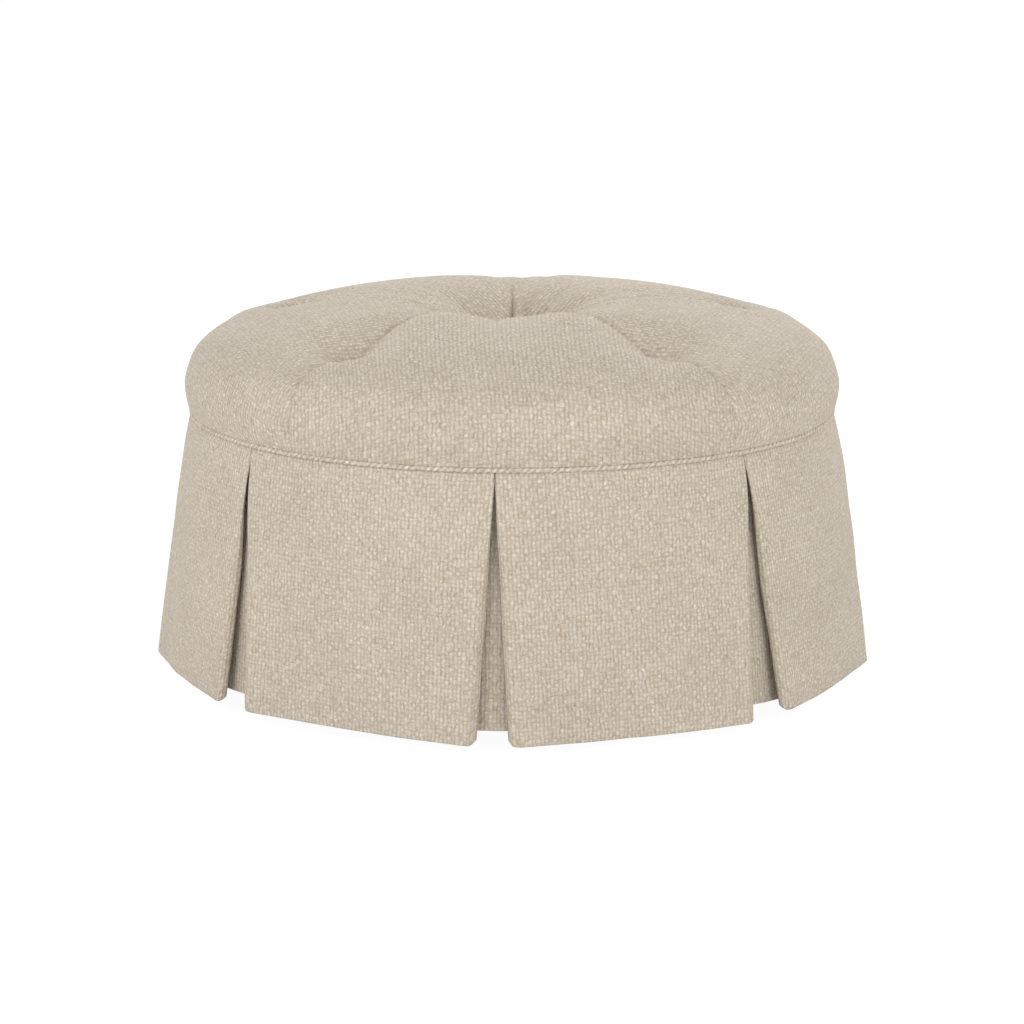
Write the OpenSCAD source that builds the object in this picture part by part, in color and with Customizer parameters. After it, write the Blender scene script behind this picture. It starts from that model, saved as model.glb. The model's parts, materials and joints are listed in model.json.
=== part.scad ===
// Round tufted ottoman with a kick-pleat skirt over a hidden wooden frame.
// The origin is the middle of the floor under it, +Z is up, and one pleat faces the front, -Y.
// Angles round the ottoman start at the front and grow towards +X.

/* [Seat cushion] */
// Diameter of the cover at its bottom seam
seam_d = 817; // [780:1:860]
// Height of the lobes above the seam
crown_h = 143; // [120:0.5:165]
// How far the cushion bulges past its seam
bulge = 7; // [3:0.5:16]
// Height of the fullest line above the seam
bulge_h = 36; // [30:0.5:60]
// Roundness of the rim, where 2 is an ellipse and more is squarer
rim_power = 2.3; // [2:0.01:2.8]
// Number of tufts in the ring round the centre one
tuft_n = 5; // [3:1:8]
// How far the ring of tufts stands in from the seam
tuft_inset = 103.5; // [60:0.5:140]
// How far the tufts sit off the middle towards +X, as hand work leaves them
tuft_drift = -11.5; // [-16:0.5:16]
// Angle of the wedge of cloth that faces the front, where the others share the rest
front_lobe = 79; // [60:1:90]
// How far the wedges are turned against the skirt
lobe_turn = 2.8; // [-10:0.1:10]
// Depth of the hollow round the centre tuft
centre_depth = 45; // [30:1:52]
// How far the centre tuft pulls the cover in
centre_reach = 105; // [60:1:130]
// Depth of the hollow round each tuft of the ring
ring_depth = 21.5; // [10:0.5:30]
// How far a tuft of the ring pulls its fold in towards the middle
ring_reach = 90; // [40:1:110]
// How far it pulls the fold in towards the rim, at the two tufts of the front wedge
ring_out = 34; // [20:1:60]
// The same at the other tufts of the ring
back_out = 16; // [12:1:60]
// How far it pulls the cover in across the fold
ring_w = 32; // [20:0.5:60]
// Extra depth right at each tuft
tip_depth = 18; // [0:0.5:20]
// Depth of the folds that run through the tufts
fold_depth = 1.5; // [0.5:0.5:10]
// Width over which a fold rounds into its lobes
fold_w = 5; // [3:0.5:40]
// Thickness of the cover cloth
cover_t = 1.6; // [1:0.1:2.4]
// Thickness of the fibre wrap
fibre_t = 14; // [8:1:20]
// Diameter of the tufting twine
twine_d = 2; // [1.2:0.1:3]
// Diameter of the anchor washers under the deck
anchor_d = 26; // [18:1:34]
// Thickness of the anchor washers
anchor_t = 3; // [1.5:0.5:5]

/* [Piping] */
// Diameter of the piping
piping_d = 7; // [5:0.5:9]
// How far the piping stands past the seam
piping_proud = 2; // [0:0.5:3]
// Thickness of the piping cloth
piping_cloth_t = 0.9; // [0.5:0.1:1.4]
// Thickness of the sewing flange of the piping
piping_flange_t = 1; // [0.6:0.1:1.6]
// Height of the band where cover, piping and skirt are fixed to the deck
fixing_h = 12; // [8:1:16]

/* [Skirt] */
// How much wider the skirt is at its hem than at the seam
hem_flare = 100; // [70:1:150]
// Height of the skirt
skirt_h = 312; // [270:1:340]
// Height of the hem above the floor
hem_clear = 12; // [6:1:25]
// Number of panels, with a pleat between each pair
pleat_n = 8; // [6:1:10]
// Width of a pleat's opening at the hem
pleat_gap = 48.6; // [20:0.2:70]
// Thickness of a panel with its interlining and lining
panel_t = 2.7; // [1.5:0.1:3.5]
// Radius of the roll at a panel's side edges
pleat_roll = 13; // [8:0.5:16]
// How straight a panel hangs at the hem, from 0, round, to 1, flat
panel_straight = 0.7; // [0:0.05:1]
// Extra flare just under the piping
shoulder = 7; // [2:0.5:12]
// Width of the flap behind a pleat
backing_w = 150; // [120:1:180]
// Thickness of the flap behind a pleat
backing_t = 1.5; // [1:0.1:2.2]
// How far behind the rolled edges of the panels the flap's hem hangs
backing_gap = 7; // [5:0.5:20]
// How much higher the flap's hem hangs than the panel's
backing_lift = 17; // [2:0.5:22]
// Thickness of the card tack strip
tack_t = 1.2; // [0.8:0.1:2]

/* [Frame] */
// Thickness of the plywood seat deck
deck_t = 18; // [12:1:21]
// Thickness of the plywood rings
ring_t = 18; // [12:1:24]
// Width of the upper ring
upper_ring_w = 48; // [40:1:60]
// Width of the lower ring
lower_ring_w = 70; // [62:1:90]
// Number of posts between the rings
post_n = 8; // [4:1:8]
// Width of a post along the rim
post_w = 60; // [40:1:80]
// Thickness of a post from outside to inside
post_t = 30; // [22:1:36]
// Thickness of the card band round the frame
band_t = 1.5; // [1:0.1:3]
// Width of the blocks over the legs
block_w = 62; // [52:1:62]
// Height of the blocks over the legs
block_t = 24; // [18:1:32]
// Thickness of the dust cover cloth
dust_t = 0.8; // [0.4:0.1:1.2]
// Number of staples round the dust cover
staple_n = 24; // [12:4:36]

/* [Legs] */
// Height of a leg without its glide
leg_h = 93; // [70:1:120]
// Width of a square leg
leg_w = 52; // [40:1:58]
// Radius of a leg's upright edges
leg_edge_r = 4; // [1:0.5:8]
// Diameter of the glides
glide_d = 30; // [20:1:38]
// Thickness of the glides
glide_t = 6; // [3:0.5:9]
// Diameter of the hanger bolts
bolt_d = 8; // [6:1:10]
// Depth of the hanger bolts in the legs
bolt_in_leg = 32; // [20:1:45]

/* [Hidden] */
$fn = 96;
// Clearance of cloth and of drilled holes, all round
fit = 0.3;
// Clearance where cloth with flat facets lies against a round piece
facet_fit = 0.8;
// Clearance that lets a cut run past a face
past = 1;

LEG_NAMES = ["front_right", "back_right", "back_left", "front_left"];

// Heights, from the floor up
leg_top_z = glide_t + leg_h;
lower_ring_z = leg_top_z + dust_t;
post_z = lower_ring_z + ring_t;
block_top_z = post_z + block_t;
skirt_top_z = hem_clear + skirt_h;
piping_z = skirt_top_z + fit + piping_d / 2;
seam_z = piping_z + piping_d / 2 + fit;
deck_z = seam_z - deck_t;
upper_ring_z = deck_z - ring_t;
post_h = upper_ring_z - post_z;
fixing_z = skirt_top_z - fixing_h;
bulge_z = seam_z + bulge_h;
dome_h = crown_h - bulge_h;

// Radii, from the skirt inwards
seam_r = seam_d / 2;
hem_r = seam_r + hem_flare / 2;
full_r = seam_r + bulge;
tack_r = seam_r - panel_t - facet_fit;
backing_r = tack_r - tack_t - fit;
piping_flange_r = backing_r - backing_t - facet_fit;
cover_flange_r = piping_flange_r - piping_flange_t - fit;
deck_r = cover_flange_r - cover_t - fit;
piping_r = seam_r + piping_proud - piping_d / 2;
leg_r = deck_r - lower_ring_w / 2;

// Colours
LINEN = [0.72, 0.66, 0.56];
FIBRE = [0.93, 0.93, 0.91];
FOAM = [0.93, 0.86, 0.62];
PLYWOOD = [0.79, 0.66, 0.47];
PINE = [0.84, 0.71, 0.5];
DARK_WOOD = [0.2, 0.13, 0.09];
CARD = [0.62, 0.53, 0.41];
COTTON = [0.88, 0.85, 0.78];
STEEL = [0.66, 0.67, 0.68];
BLACK = [0.09, 0.09, 0.09];

function round_point(r, a, z) = [r * sin(a), -r * cos(a), z];
function flat(rings) = [for (ring = rings) for (p = ring) p];
function ease(x) = let (s = min(1, max(0, x))) s * s * (3 - 2 * s);

module at_turn(a, r = 0) {
    rotate([0, 0, a]) translate([0, -r, 0]) children();
}

// Cushion shape

other_lobe = (360 - front_lobe) / (tuft_n - 1);
lobe_cols = 10;
cols = tuft_n * lobe_cols;
// How strongly the columns of facets crowd towards the folds
crowding = 0.06;
// Share of the folds' depth that is left at the fullest line
rim_fade = 0.03;
// How the hollows round out, where 2 is a bowl and 1 a point
centre_power = 2.1;
ring_power = 1.3;
tip_reach = 22;
// How sharply a tuft and the folds that meet in it are joined
join_power = 3;

tuft_ring_r = seam_r - tuft_inset;
tuft_q = tuft_ring_r / full_r;
// Rows of facets, as shares of the fullest radius, with one row through the ring of tufts
top_rows = concat(
    [for (s = [0.09, 0.26, 0.46, 0.67, 0.86, 1]) s * tuft_q],
    [for (s = [0.45, 0.8, 1]) tuft_q + s * (1 - tuft_q)]
);
// Rows under the fullest line, as angles of an ellipse quarter that ends at the seam
low_rows = [48, 90];

// Angle of each fold, where wedge 0 lies between folds 0 and 1
function fold_a(k) =
    lobe_turn - front_lobe / 2 + (k > 0 ? front_lobe + (k - 1) * other_lobe : 0);

function col_a(i) =
    let (
        k = floor(i / lobe_cols),
        u = (i % lobe_cols) / lobe_cols
    )
    fold_a(k) + (fold_a(k + 1) - fold_a(k)) * (u - crowding * sin(360 * u));

function apart(a, b) = abs((a - b + 540) % 360 - 180);

function tip(away) = tip_depth * exp(-away / tip_reach);

// Depth of folds and tufts under the plain dome, at radius r and angle a
function dip(r, a) =
    let (
        front_off = min(apart(a, fold_a(0)), apart(a, fold_a(1))),
        off = min([for (k = [0:tuft_n - 1]) apart(a, fold_a(k))]),
        out = off < front_off ? back_out : ring_out,
        across = r * sin(off),
        away = norm([r * cos(off) - tuft_ring_r, across]),
        fold = fold_depth * exp(-across / fold_w),
        centre = centre_depth * exp(-pow(r / centre_reach, centre_power)) + tip(r),
        along = pow((r - tuft_ring_r) / (r < tuft_ring_r ? ring_reach : out), 2),
        tuft = ring_depth * exp(-along - pow(across / ring_w, ring_power)) + tip(away)
    )
    pow(pow(fold, join_power) + pow(centre, join_power) + pow(tuft, join_power), 1 / join_power);

// Sideways drift of the tufts, which dies out towards the rim
drift_power = 4;
function drift(q) = [tuft_drift * (1 - pow(q, drift_power)), 0, 0];

function fade(q) = 1 - (1 - rim_fade) * max(0, q - tuft_q) / (1 - tuft_q);

// Point of the dome at share q of the fullest radius, moved in by depth
function dome_point(q, a, depth) =
    let (
        rise = pow(max(0, 1 - pow(q, rim_power)), 1 / rim_power),
        nr = pow(q, rim_power - 1) / full_r,
        nz = pow(rise, rim_power - 1) / dome_h,
        d = (depth + fade(q) * dip(q * full_r, a)) / norm([nr, nz])
    )
    drift(q) + round_point(q * full_r - d * nr, a, bulge_z + dome_h * rise - d * nz);

// Point of the drawn-in side, at angle turn of its ellipse quarter
function side_point(turn, a, depth, foot_z) =
    round_point(
        seam_r + bulge * cos(turn) - depth - rim_fade * cos(turn) * dip(full_r, a),
        a,
        bulge_z - (bulge_z - foot_z) * sin(turn)
    );

function cushion_rings(depth, foot_z) = concat(
    [for (q = top_rows) [for (i = [0:cols - 1]) dome_point(q, col_a(i), depth)]],
    [for (turn = low_rows) [for (i = [0:cols - 1]) side_point(turn, col_a(i), depth, foot_z)]]
);

function reversed(list) = [for (i = [len(list) - 1:-1:0]) list[i]];

// Closed solid through rings of points, from one pole to the other. The rings after the rim run
// back up inside it, and their squares are cut along the same diagonal as those over them.
module spun_solid(first, rings, last, rim) {
    n = len(rings[0]);
    top = len(rings) - 1;
    end = n * (top + 1) + 1;
    function at(i, j) = 1 + i * n + j % n;
    polyhedron(
        points = concat([first], flat(rings), [last]),
        faces = concat(
            [for (j = [0:n - 1]) [0, at(0, j + 1), at(0, j)]],
            [for (i = [0:top - 1]) for (j = [0:n - 1])
                [at(i, j), at(i, j + 1), i < rim ? at(i + 1, j) : at(i + 1, j + 1)]],
            [for (i = [0:top - 1]) for (j = [0:n - 1])
                [i < rim ? at(i, j + 1) : at(i, j), at(i + 1, j + 1), at(i + 1, j)]],
            [for (j = [0:n - 1]) [end, at(top, j), at(top, j + 1)]]
        )
    );
}

rim_row = len(top_rows) + len(low_rows);

fibre_foot_z = seam_z + cover_t + fit;
fibre_depth = cover_t + fit;
foam_depth = fibre_depth + fibre_t + fit;

// Radius and height of a tuft's bottom, on a layer at a given depth
function tuft_spots(depth) = concat(
    [dome_point(0, 0, depth)],
    [for (k = [0:tuft_n - 1]) dome_point(tuft_q, fold_a(k), depth)]
);
cover_tufts = tuft_spots(0);
lining_tufts = tuft_spots(cover_t);
// Clearance of the twine in its holes, all round
twine_fit = 2;

module twine_holes(low_z, high_z) {
    for (p = cover_tufts)
        translate([p[0], p[1], low_z])
            cylinder(d = twine_d + 2 * twine_fit, h = high_z - low_z);
}

module seat_cover() {
    flange_in_r = cover_flange_r - cover_t;
    color(LINEN) union() {
        spun_solid(
            dome_point(0, 0, 0),
            concat(cushion_rings(0, seam_z), reversed(cushion_rings(cover_t, seam_z + cover_t))),
            dome_point(0, 0, cover_t),
            rim_row
        );
        // The cloth turns in over the piping and down to where it is stapled to the deck
        rotate_extrude() {
            translate([flange_in_r, seam_z]) square([seam_r - flange_in_r - fit, cover_t]);
            translate([flange_in_r, fixing_z]) square([cover_t, seam_z - fixing_z + cover_t / 2]);
        }
    }
}

module fibre_wrap() {
    inner = foam_depth - fit;
    color(FIBRE) difference() {
        spun_solid(
            dome_point(0, 0, fibre_depth),
            concat(
                cushion_rings(fibre_depth, fibre_foot_z),
                reversed(cushion_rings(inner, fibre_foot_z))
            ),
            dome_point(0, 0, inner),
            rim_row
        );
        twine_holes(seam_z, bulge_z + crown_h);
    }
}

module foam_core() {
    rings = cushion_rings(foam_depth, fibre_foot_z);
    foot = [for (p = rings[len(rings) - 1]) [p[0], p[1], seam_z]];
    color(FOAM) difference() {
        spun_solid(dome_point(0, 0, foam_depth), concat(rings, [foot]), [0, 0, seam_z], rim_row);
        twine_holes(seam_z - past, bulge_z + crown_h);
    }
}

module tuft_twines() {
    // A knot under each anchor washer holds the twine
    knot_r = twine_d;
    color(COTTON) for (i = [0:tuft_n]) {
        p = cover_tufts[i];
        low_z = deck_z - anchor_t - knot_r;
        top_z = lining_tufts[i][2] - 2 * fit;
        translate([p[0], p[1], low_z]) {
            cylinder(d = twine_d, h = top_z - low_z);
            sphere(r = knot_r);
        }
    }
}

module tuft_anchors() {
    color(BLACK) for (p = cover_tufts)
        translate([p[0], p[1], deck_z - anchor_t]) difference() {
            cylinder(d = anchor_d, h = anchor_t);
            translate([0, 0, -past]) cylinder(d = twine_d + 2 * fit, h = anchor_t + 2 * past);
        }
}

// Piping, tack strip and skirt

module ring_solid(r_out, r_in, z, h) {
    translate([0, 0, z]) difference() {
        cylinder(r = r_out, h = h);
        translate([0, 0, -past]) cylinder(r = r_in, h = h + 2 * past);
    }
}

module piping_cover() {
    inner_r = piping_d / 2 - piping_cloth_t;
    neck_r = piping_r - piping_d / 2 + piping_cloth_t / 2;
    flange_in_r = piping_flange_r - piping_flange_t;
    color(LINEN) rotate_extrude() {
        translate([piping_r, piping_z]) difference() {
            circle(d = piping_d);
            circle(r = inner_r);
        }
        translate([flange_in_r, piping_z - piping_flange_t / 2])
            square([neck_r - flange_in_r, piping_flange_t]);
        translate([flange_in_r, fixing_z]) square([piping_flange_t, piping_z - fixing_z]);
    }
}

module piping_cord() {
    cord_fit = 0.1;
    color(COTTON) rotate_extrude()
        translate([piping_r, piping_z]) circle(r = piping_d / 2 - piping_cloth_t - cord_fit);
}

module tack_strip() {
    color(CARD) ring_solid(tack_r, tack_r - tack_t, fixing_z, fixing_h - fit);
}

// Closed strip of cloth through rings of points, each the outer side and back along the inner side
module cloth_strip(rings) {
    n = len(rings[0]);
    top = len(rings) - 1;
    half = n / 2;
    polyhedron(
        points = flat(rings),
        faces = concat(
            [for (i = [0:top - 1]) for (j = [0:n - 1])
                [i * n + j, i * n + (j + 1) % n, (i + 1) * n + j]],
            [for (i = [0:top - 1]) for (j = [0:n - 1])
                [i * n + (j + 1) % n, (i + 1) * n + (j + 1) % n, (i + 1) * n + j]],
            [for (j = [0:half - 2]) [j, n - 1 - j, j + 1]],
            [for (j = [0:half - 2]) [j + 1, n - 1 - j, n - 2 - j]],
            [for (j = [0:half - 2]) [top * n + j, top * n + j + 1, top * n + n - 1 - j]],
            [for (j = [0:half - 2]) [top * n + j + 1, top * n + n - 2 - j, top * n + n - 1 - j]]
        )
    );
}

pleat_pitch = 360 / pleat_n;
// Half of the gap between two panels where they meet under the piping
seam_gap = 0.5;
// Share of the skirt's height over which the shoulder eases out
shoulder_ease = 0.13;
// Share of the height above which a pleat stays shut
shut_t = 0.02;
// Share of the height over which the side edges roll out to their full radius
roll_t = 0.4;
skirt_rows = [0, 0.05, 0.16, 0.4, 0.7, 1];
backing_rows = [0, 0.05, 0.5, 1];
// Facets across a panel's face, across each of its rolled edges, and across a flap
span_steps = 8;
roll_steps = 2;
backing_steps = 4;

// Radius of the panels' corners at share t of the way down
function panel_r(t) =
    seam_r + (hem_r - seam_r - shoulder) * t + shoulder * (1 - exp(-t / shoulder_ease));
function half_gap(t) = seam_gap + (pleat_gap / 2 - seam_gap) * max(0, t - shut_t) / (1 - shut_t);
function roll_r(t) =
    panel_t + fit + (pleat_roll - panel_t - fit) * ease((t - skirt_rows[1]) / roll_t);

// Points of one side of a panel: depth 0 is its face, panel_t its lining
function panel_side(t, depth) =
    let (
        r = panel_r(t),
        roll = roll_r(t),
        edge_a = pleat_pitch / 2 - asin(half_gap(t) / r),
        end_a = edge_a - roll / r * 180 / PI,
        straight = panel_straight * t,
        z = skirt_top_z - skirt_h * t
    )
    [for (k = [-roll_steps - span_steps / 2:roll_steps + span_steps / 2])
        let (
            side = sign(k),
            past_end = max(0, abs(k) - span_steps / 2),
            a = side * min(1, abs(k) / (span_steps / 2)) * end_a,
            face_r = r * (1 - straight + straight * cos(end_a) / cos(a)),
            out_a = a * (1 - straight),
            turn_a = out_a + side * past_end * 90 / roll_steps,
            core = round_point(face_r, a, z) - round_point(roll, out_a, 0)
        )
        core + round_point(roll - depth, turn_a, 0)];

function backing_side(t, depth) =
    let (
        flare = hem_r - pleat_roll - backing_gap - backing_r,
        face_r = backing_r + flare * max(0, t - backing_rows[1]) / (1 - backing_rows[1]),
        half_a = asin(backing_w / 2 / face_r),
        top_z = skirt_top_z - fit,
        z = top_z - (top_z - hem_clear - backing_lift) * t
    )
    [for (k = [0:backing_steps]) round_point(face_r - depth, half_a * (2 * k / backing_steps - 1), z)];

module skirt_panel(i) {
    color(LINEN) at_turn(pleat_pitch * (i - 0.5))
        cloth_strip([for (t = skirt_rows) concat(panel_side(t, 0), reversed(panel_side(t, panel_t)))]);
}

module pleat_backing(i) {
    color(LINEN) at_turn(pleat_pitch * (i - 1))
        cloth_strip([
            for (t = backing_rows) concat(backing_side(t, 0), reversed(backing_side(t, backing_t)))
        ]);
}

// Screws, with their top at z = 0

deck_screw_d = 4.5;
// How far the tips of the deck screws stay inside the ring
tip_cover = 3;
deck_screw_l = deck_t + ring_t - tip_cover;
post_screw_d = 5;
// How deep the post screws bite into the posts
post_bite = 35;
post_screw_l = ring_t + post_bite;
block_screw_d = 4;
block_screw_l = block_t + ring_t / 2;
screw_fit = 0.1;

// A screw, or its hole when gap is the hole's clearance
module screw(d, length, gap = 0) {
    tip = d / 2;
    top = gap > 0 ? past : 0;
    rotate_extrude() polygon([
        [0, top], [d + gap, top], [d + gap, 0], [d / 2 + gap, -d / 2],
        [d / 2 + gap, -length + tip], [0, -length - gap]
    ]);
}

module deck_screw_spots() {
    for (i = [0:post_n - 1])
        at_turn(i * 360 / post_n, deck_r - upper_ring_w / 2) translate([0, 0, seam_z]) children();
}

post_inset = 1;
post_r = deck_r - post_inset - post_t / 2;

module post_spots() {
    for (i = [0:post_n - 1]) at_turn((i + 0.5) * 360 / post_n, post_r) children();
}

module post_screw_spots() {
    post_spots() {
        translate([0, 0, deck_z]) children();
        translate([0, 0, lower_ring_z]) mirror([0, 0, 1]) children();
    }
}

block_screw_inset = 10;

module block_screw_spots() {
    spread = block_w / 2 - block_screw_inset;
    for (k = [0:3]) at_turn(leg_a(k), leg_r)
        for (x = [-spread, spread], y = [-spread, spread]) translate([x, y, block_top_z]) children();
}

// Frame

module seat_deck() {
    color(PLYWOOD) difference() {
        translate([0, 0, deck_z]) cylinder(r = deck_r, h = deck_t);
        twine_holes(deck_z - past, seam_z + past);
        deck_screw_spots() screw(deck_screw_d, deck_screw_l, screw_fit);
    }
}

module upper_ring() {
    color(PLYWOOD) difference() {
        ring_solid(deck_r, deck_r - upper_ring_w, upper_ring_z, ring_t);
        deck_screw_spots() screw(deck_screw_d, deck_screw_l, screw_fit);
        post_screw_spots() screw(post_screw_d, post_screw_l, screw_fit);
    }
}

module lower_ring() {
    color(PLYWOOD) difference() {
        ring_solid(deck_r, deck_r - lower_ring_w, lower_ring_z, ring_t);
        post_screw_spots() screw(post_screw_d, post_screw_l, screw_fit);
        block_screw_spots() screw(block_screw_d, block_screw_l, screw_fit);
        leg_spots() translate([0, 0, lower_ring_z - past])
            cylinder(d = bolt_d + 2 * fit, h = ring_t + 2 * past);
        staple_spots() staple(staple_fit);
    }
}

module frame_post(i) {
    color(PINE) difference() {
        at_turn((i - 0.5) * 360 / post_n, post_r)
            translate([-post_w / 2, -post_t / 2, post_z]) cube([post_w, post_t, post_h]);
        post_screw_spots() screw(post_screw_d, post_screw_l, screw_fit);
    }
}

module frame_band() {
    inner_r = deck_r + fit;
    color(CARD) ring_solid(inner_r + band_t, inner_r, lower_ring_z, fixing_z - fit - lower_ring_z);
}

function leg_a(k) = 45 + 90 * k;

module leg_spots() {
    for (k = [0:3]) at_turn(leg_a(k), leg_r) children();
}

tee_flange_d = 22;
tee_flange_t = 1.5;
tee_wall = 1.2;
tee_barrel_d = bolt_d + 2 * tee_wall;
tee_barrel_h = 12;

module leg_block(k) {
    color(PINE) difference() {
        at_turn(leg_a(k), leg_r) difference() {
            translate([-block_w / 2, -block_w / 2, post_z]) cube([block_w, block_w, block_t]);
            translate([0, 0, post_z - past]) cylinder(d = bolt_d + 2 * fit, h = block_t + 2 * past);
            translate([0, 0, block_top_z - tee_barrel_h - fit])
                cylinder(d = tee_barrel_d + 2 * screw_fit, h = tee_barrel_h + past);
        }
        block_screw_spots() screw(block_screw_d, block_screw_l, screw_fit);
    }
}

module tee_nuts() {
    color(STEEL) leg_spots() difference() {
        union() {
            translate([0, 0, block_top_z]) cylinder(d = tee_flange_d, h = tee_flange_t);
            translate([0, 0, block_top_z - tee_barrel_h])
                cylinder(d = tee_barrel_d, h = tee_barrel_h + tee_flange_t / 2);
        }
        translate([0, 0, block_top_z - tee_barrel_h - past])
            cylinder(d = bolt_d + 2 * screw_fit, h = tee_barrel_h + 2 * past + tee_flange_t);
    }
}

// How far the bolts stand out over the blocks
bolt_proud = 3;

module hanger_bolts() {
    bolt_above = dust_t + ring_t + block_t + bolt_proud;
    color(STEEL) leg_spots() translate([0, 0, leg_top_z - bolt_in_leg])
        cylinder(d = bolt_d, h = bolt_in_leg + bolt_above);
}

glide_nail_d = 3;
glide_nail_l = 16;

module leg(k) {
    core = leg_w - 2 * leg_edge_r;
    color(DARK_WOOD) at_turn(leg_a(k), leg_r) difference() {
        translate([0, 0, glide_t]) linear_extrude(leg_h) {
            square([leg_w, core], center = true);
            square([core, leg_w], center = true);
            for (x = [-core / 2, core / 2], y = [-core / 2, core / 2])
                translate([x, y]) circle(r = leg_edge_r);
        }
        translate([0, 0, leg_top_z - bolt_in_leg - fit])
            cylinder(d = bolt_d + 2 * screw_fit, h = bolt_in_leg + fit + past);
        translate([0, 0, glide_t - past])
            cylinder(d = glide_nail_d + 2 * screw_fit, h = glide_nail_l + past + fit);
    }
}

module leg_glide(k) {
    edge = glide_t / 4;
    color(BLACK) at_turn(leg_a(k), leg_r) rotate_extrude() polygon([
        [0, 0], [glide_d / 2 - edge, 0], [glide_d / 2, edge], [glide_d / 2, glide_t],
        [glide_nail_d / 2, glide_t], [glide_nail_d / 2, glide_t + glide_nail_l], [0, glide_t + glide_nail_l]
    ]);
}

// Dust cover, stapled under the lower ring

dust_margin = 3;
dust_r = deck_r - dust_margin;
staple_wire = 1;
staple_crown = 11;
staple_leg = 9;
staple_inset = 5;
staple_fit = 0.1;

module staple_spots() {
    for (i = [0:staple_n - 1])
        at_turn((i + 0.5) * 360 / staple_n, dust_r - staple_inset) translate([0, 0, leg_top_z]) children();
}

// One staple with its crown against the cloth at z = 0 and its legs pointing up
module staple(gap = 0) {
    translate([-staple_crown / 2, -staple_wire / 2, -staple_wire])
        cube([staple_crown, staple_wire, staple_wire]);
    for (x = [-staple_crown / 2, staple_crown / 2 - staple_wire])
        translate([x - gap, -staple_wire / 2 - gap, -staple_wire])
            cube([staple_wire + 2 * gap, staple_wire + 2 * gap, staple_wire + staple_leg + gap]);
}

module dust_cover() {
    color(BLACK) difference() {
        translate([0, 0, leg_top_z]) cylinder(r = dust_r, h = dust_t);
        leg_spots() translate([0, 0, leg_top_z - past])
            cylinder(d = bolt_d + 2 * fit, h = dust_t + 2 * past);
        staple_spots() staple(staple_fit);
    }
}

module dust_cover_staples() {
    color(STEEL) staple_spots() staple();
}

module deck_screws() {
    color(STEEL) deck_screw_spots() screw(deck_screw_d, deck_screw_l);
}

module post_screws() {
    color(STEEL) post_screw_spots() screw(post_screw_d, post_screw_l);
}

module block_screws() {
    color(STEEL) block_screw_spots() screw(block_screw_d, block_screw_l);
}

seat_cover();
fibre_wrap();
foam_core();
seat_deck();
tuft_twines();
tuft_anchors();
piping_cover();
piping_cord();
tack_strip();
for (i = [1:pleat_n]) skirt_panel(i);
for (i = [1:pleat_n]) pleat_backing(i);
frame_band();
upper_ring();
lower_ring();
for (i = [1:post_n]) frame_post(i);
for (k = [0:3]) leg_block(k);
for (k = [0:3]) leg(k);
for (k = [0:3]) leg_glide(k);
hanger_bolts();
tee_nuts();
dust_cover();
dust_cover_staples();
deck_screws();
post_screws();
block_screws();
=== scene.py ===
# %% [markdown]
# # A round tufted ottoman
# This lesson dresses a finished construction model. The wood, card, screws and legs come from that
# model as they are and only get their finishes here. The soft parts are made again as cloth: the
# tufted cushion, the piping under it, and the skirt with its eight kick pleats.
# The middle of the floor is the origin, Z is up, and the front pleat looks along -Y.

# %% Load the construction model
import json
import math

import bpy
import numpy as np
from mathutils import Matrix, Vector

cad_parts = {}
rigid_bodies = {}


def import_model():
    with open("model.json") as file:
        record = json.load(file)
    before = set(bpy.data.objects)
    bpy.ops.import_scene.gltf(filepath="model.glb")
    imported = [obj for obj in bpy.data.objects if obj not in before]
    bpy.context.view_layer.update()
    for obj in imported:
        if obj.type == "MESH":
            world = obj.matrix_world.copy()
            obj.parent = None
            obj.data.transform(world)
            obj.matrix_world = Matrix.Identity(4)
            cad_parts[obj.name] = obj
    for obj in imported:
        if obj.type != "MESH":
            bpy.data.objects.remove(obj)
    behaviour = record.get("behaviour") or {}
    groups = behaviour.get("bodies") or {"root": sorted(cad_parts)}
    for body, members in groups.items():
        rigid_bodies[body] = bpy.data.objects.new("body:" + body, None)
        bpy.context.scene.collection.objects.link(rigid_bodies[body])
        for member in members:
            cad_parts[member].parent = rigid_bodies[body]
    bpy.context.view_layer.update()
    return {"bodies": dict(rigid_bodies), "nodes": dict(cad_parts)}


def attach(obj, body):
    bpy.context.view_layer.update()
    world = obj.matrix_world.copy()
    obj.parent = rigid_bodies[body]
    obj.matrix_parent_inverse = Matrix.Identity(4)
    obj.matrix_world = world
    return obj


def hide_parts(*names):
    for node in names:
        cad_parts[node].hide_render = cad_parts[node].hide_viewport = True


for left_over in list(bpy.data.objects):
    bpy.data.objects.remove(left_over, do_unlink=True)
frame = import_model()

# %% [markdown]
# ## Sizes
# A soft piece has to sit in the space that the construction keeps for it, so its sizes are the same
# ones that the wood and the seams were made to. They are in metres, as Blender works in metres.

# %% Sizes of the upholstery
SEAM_R = 0.4085          # the cushion's bottom seam
FULL_R = 0.4155          # the cushion at its fullest
DECK_TOP = 0.3316        # the plywood that the foam lies on
SEAM_Z = 0.3308          # the cover's lowest edge, which lies against the piping
FULL_Z = 0.3676          # height of the fullest place
DOME_H = 0.107           # how far the plain dome rises over it
RIM_POWER = 2.30         # 2 would be an ellipse, and more is squarer
FIXING_Z = 0.312         # cloth is stapled to the deck's edge between here and the seam
COVER_T = 0.0016

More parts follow.
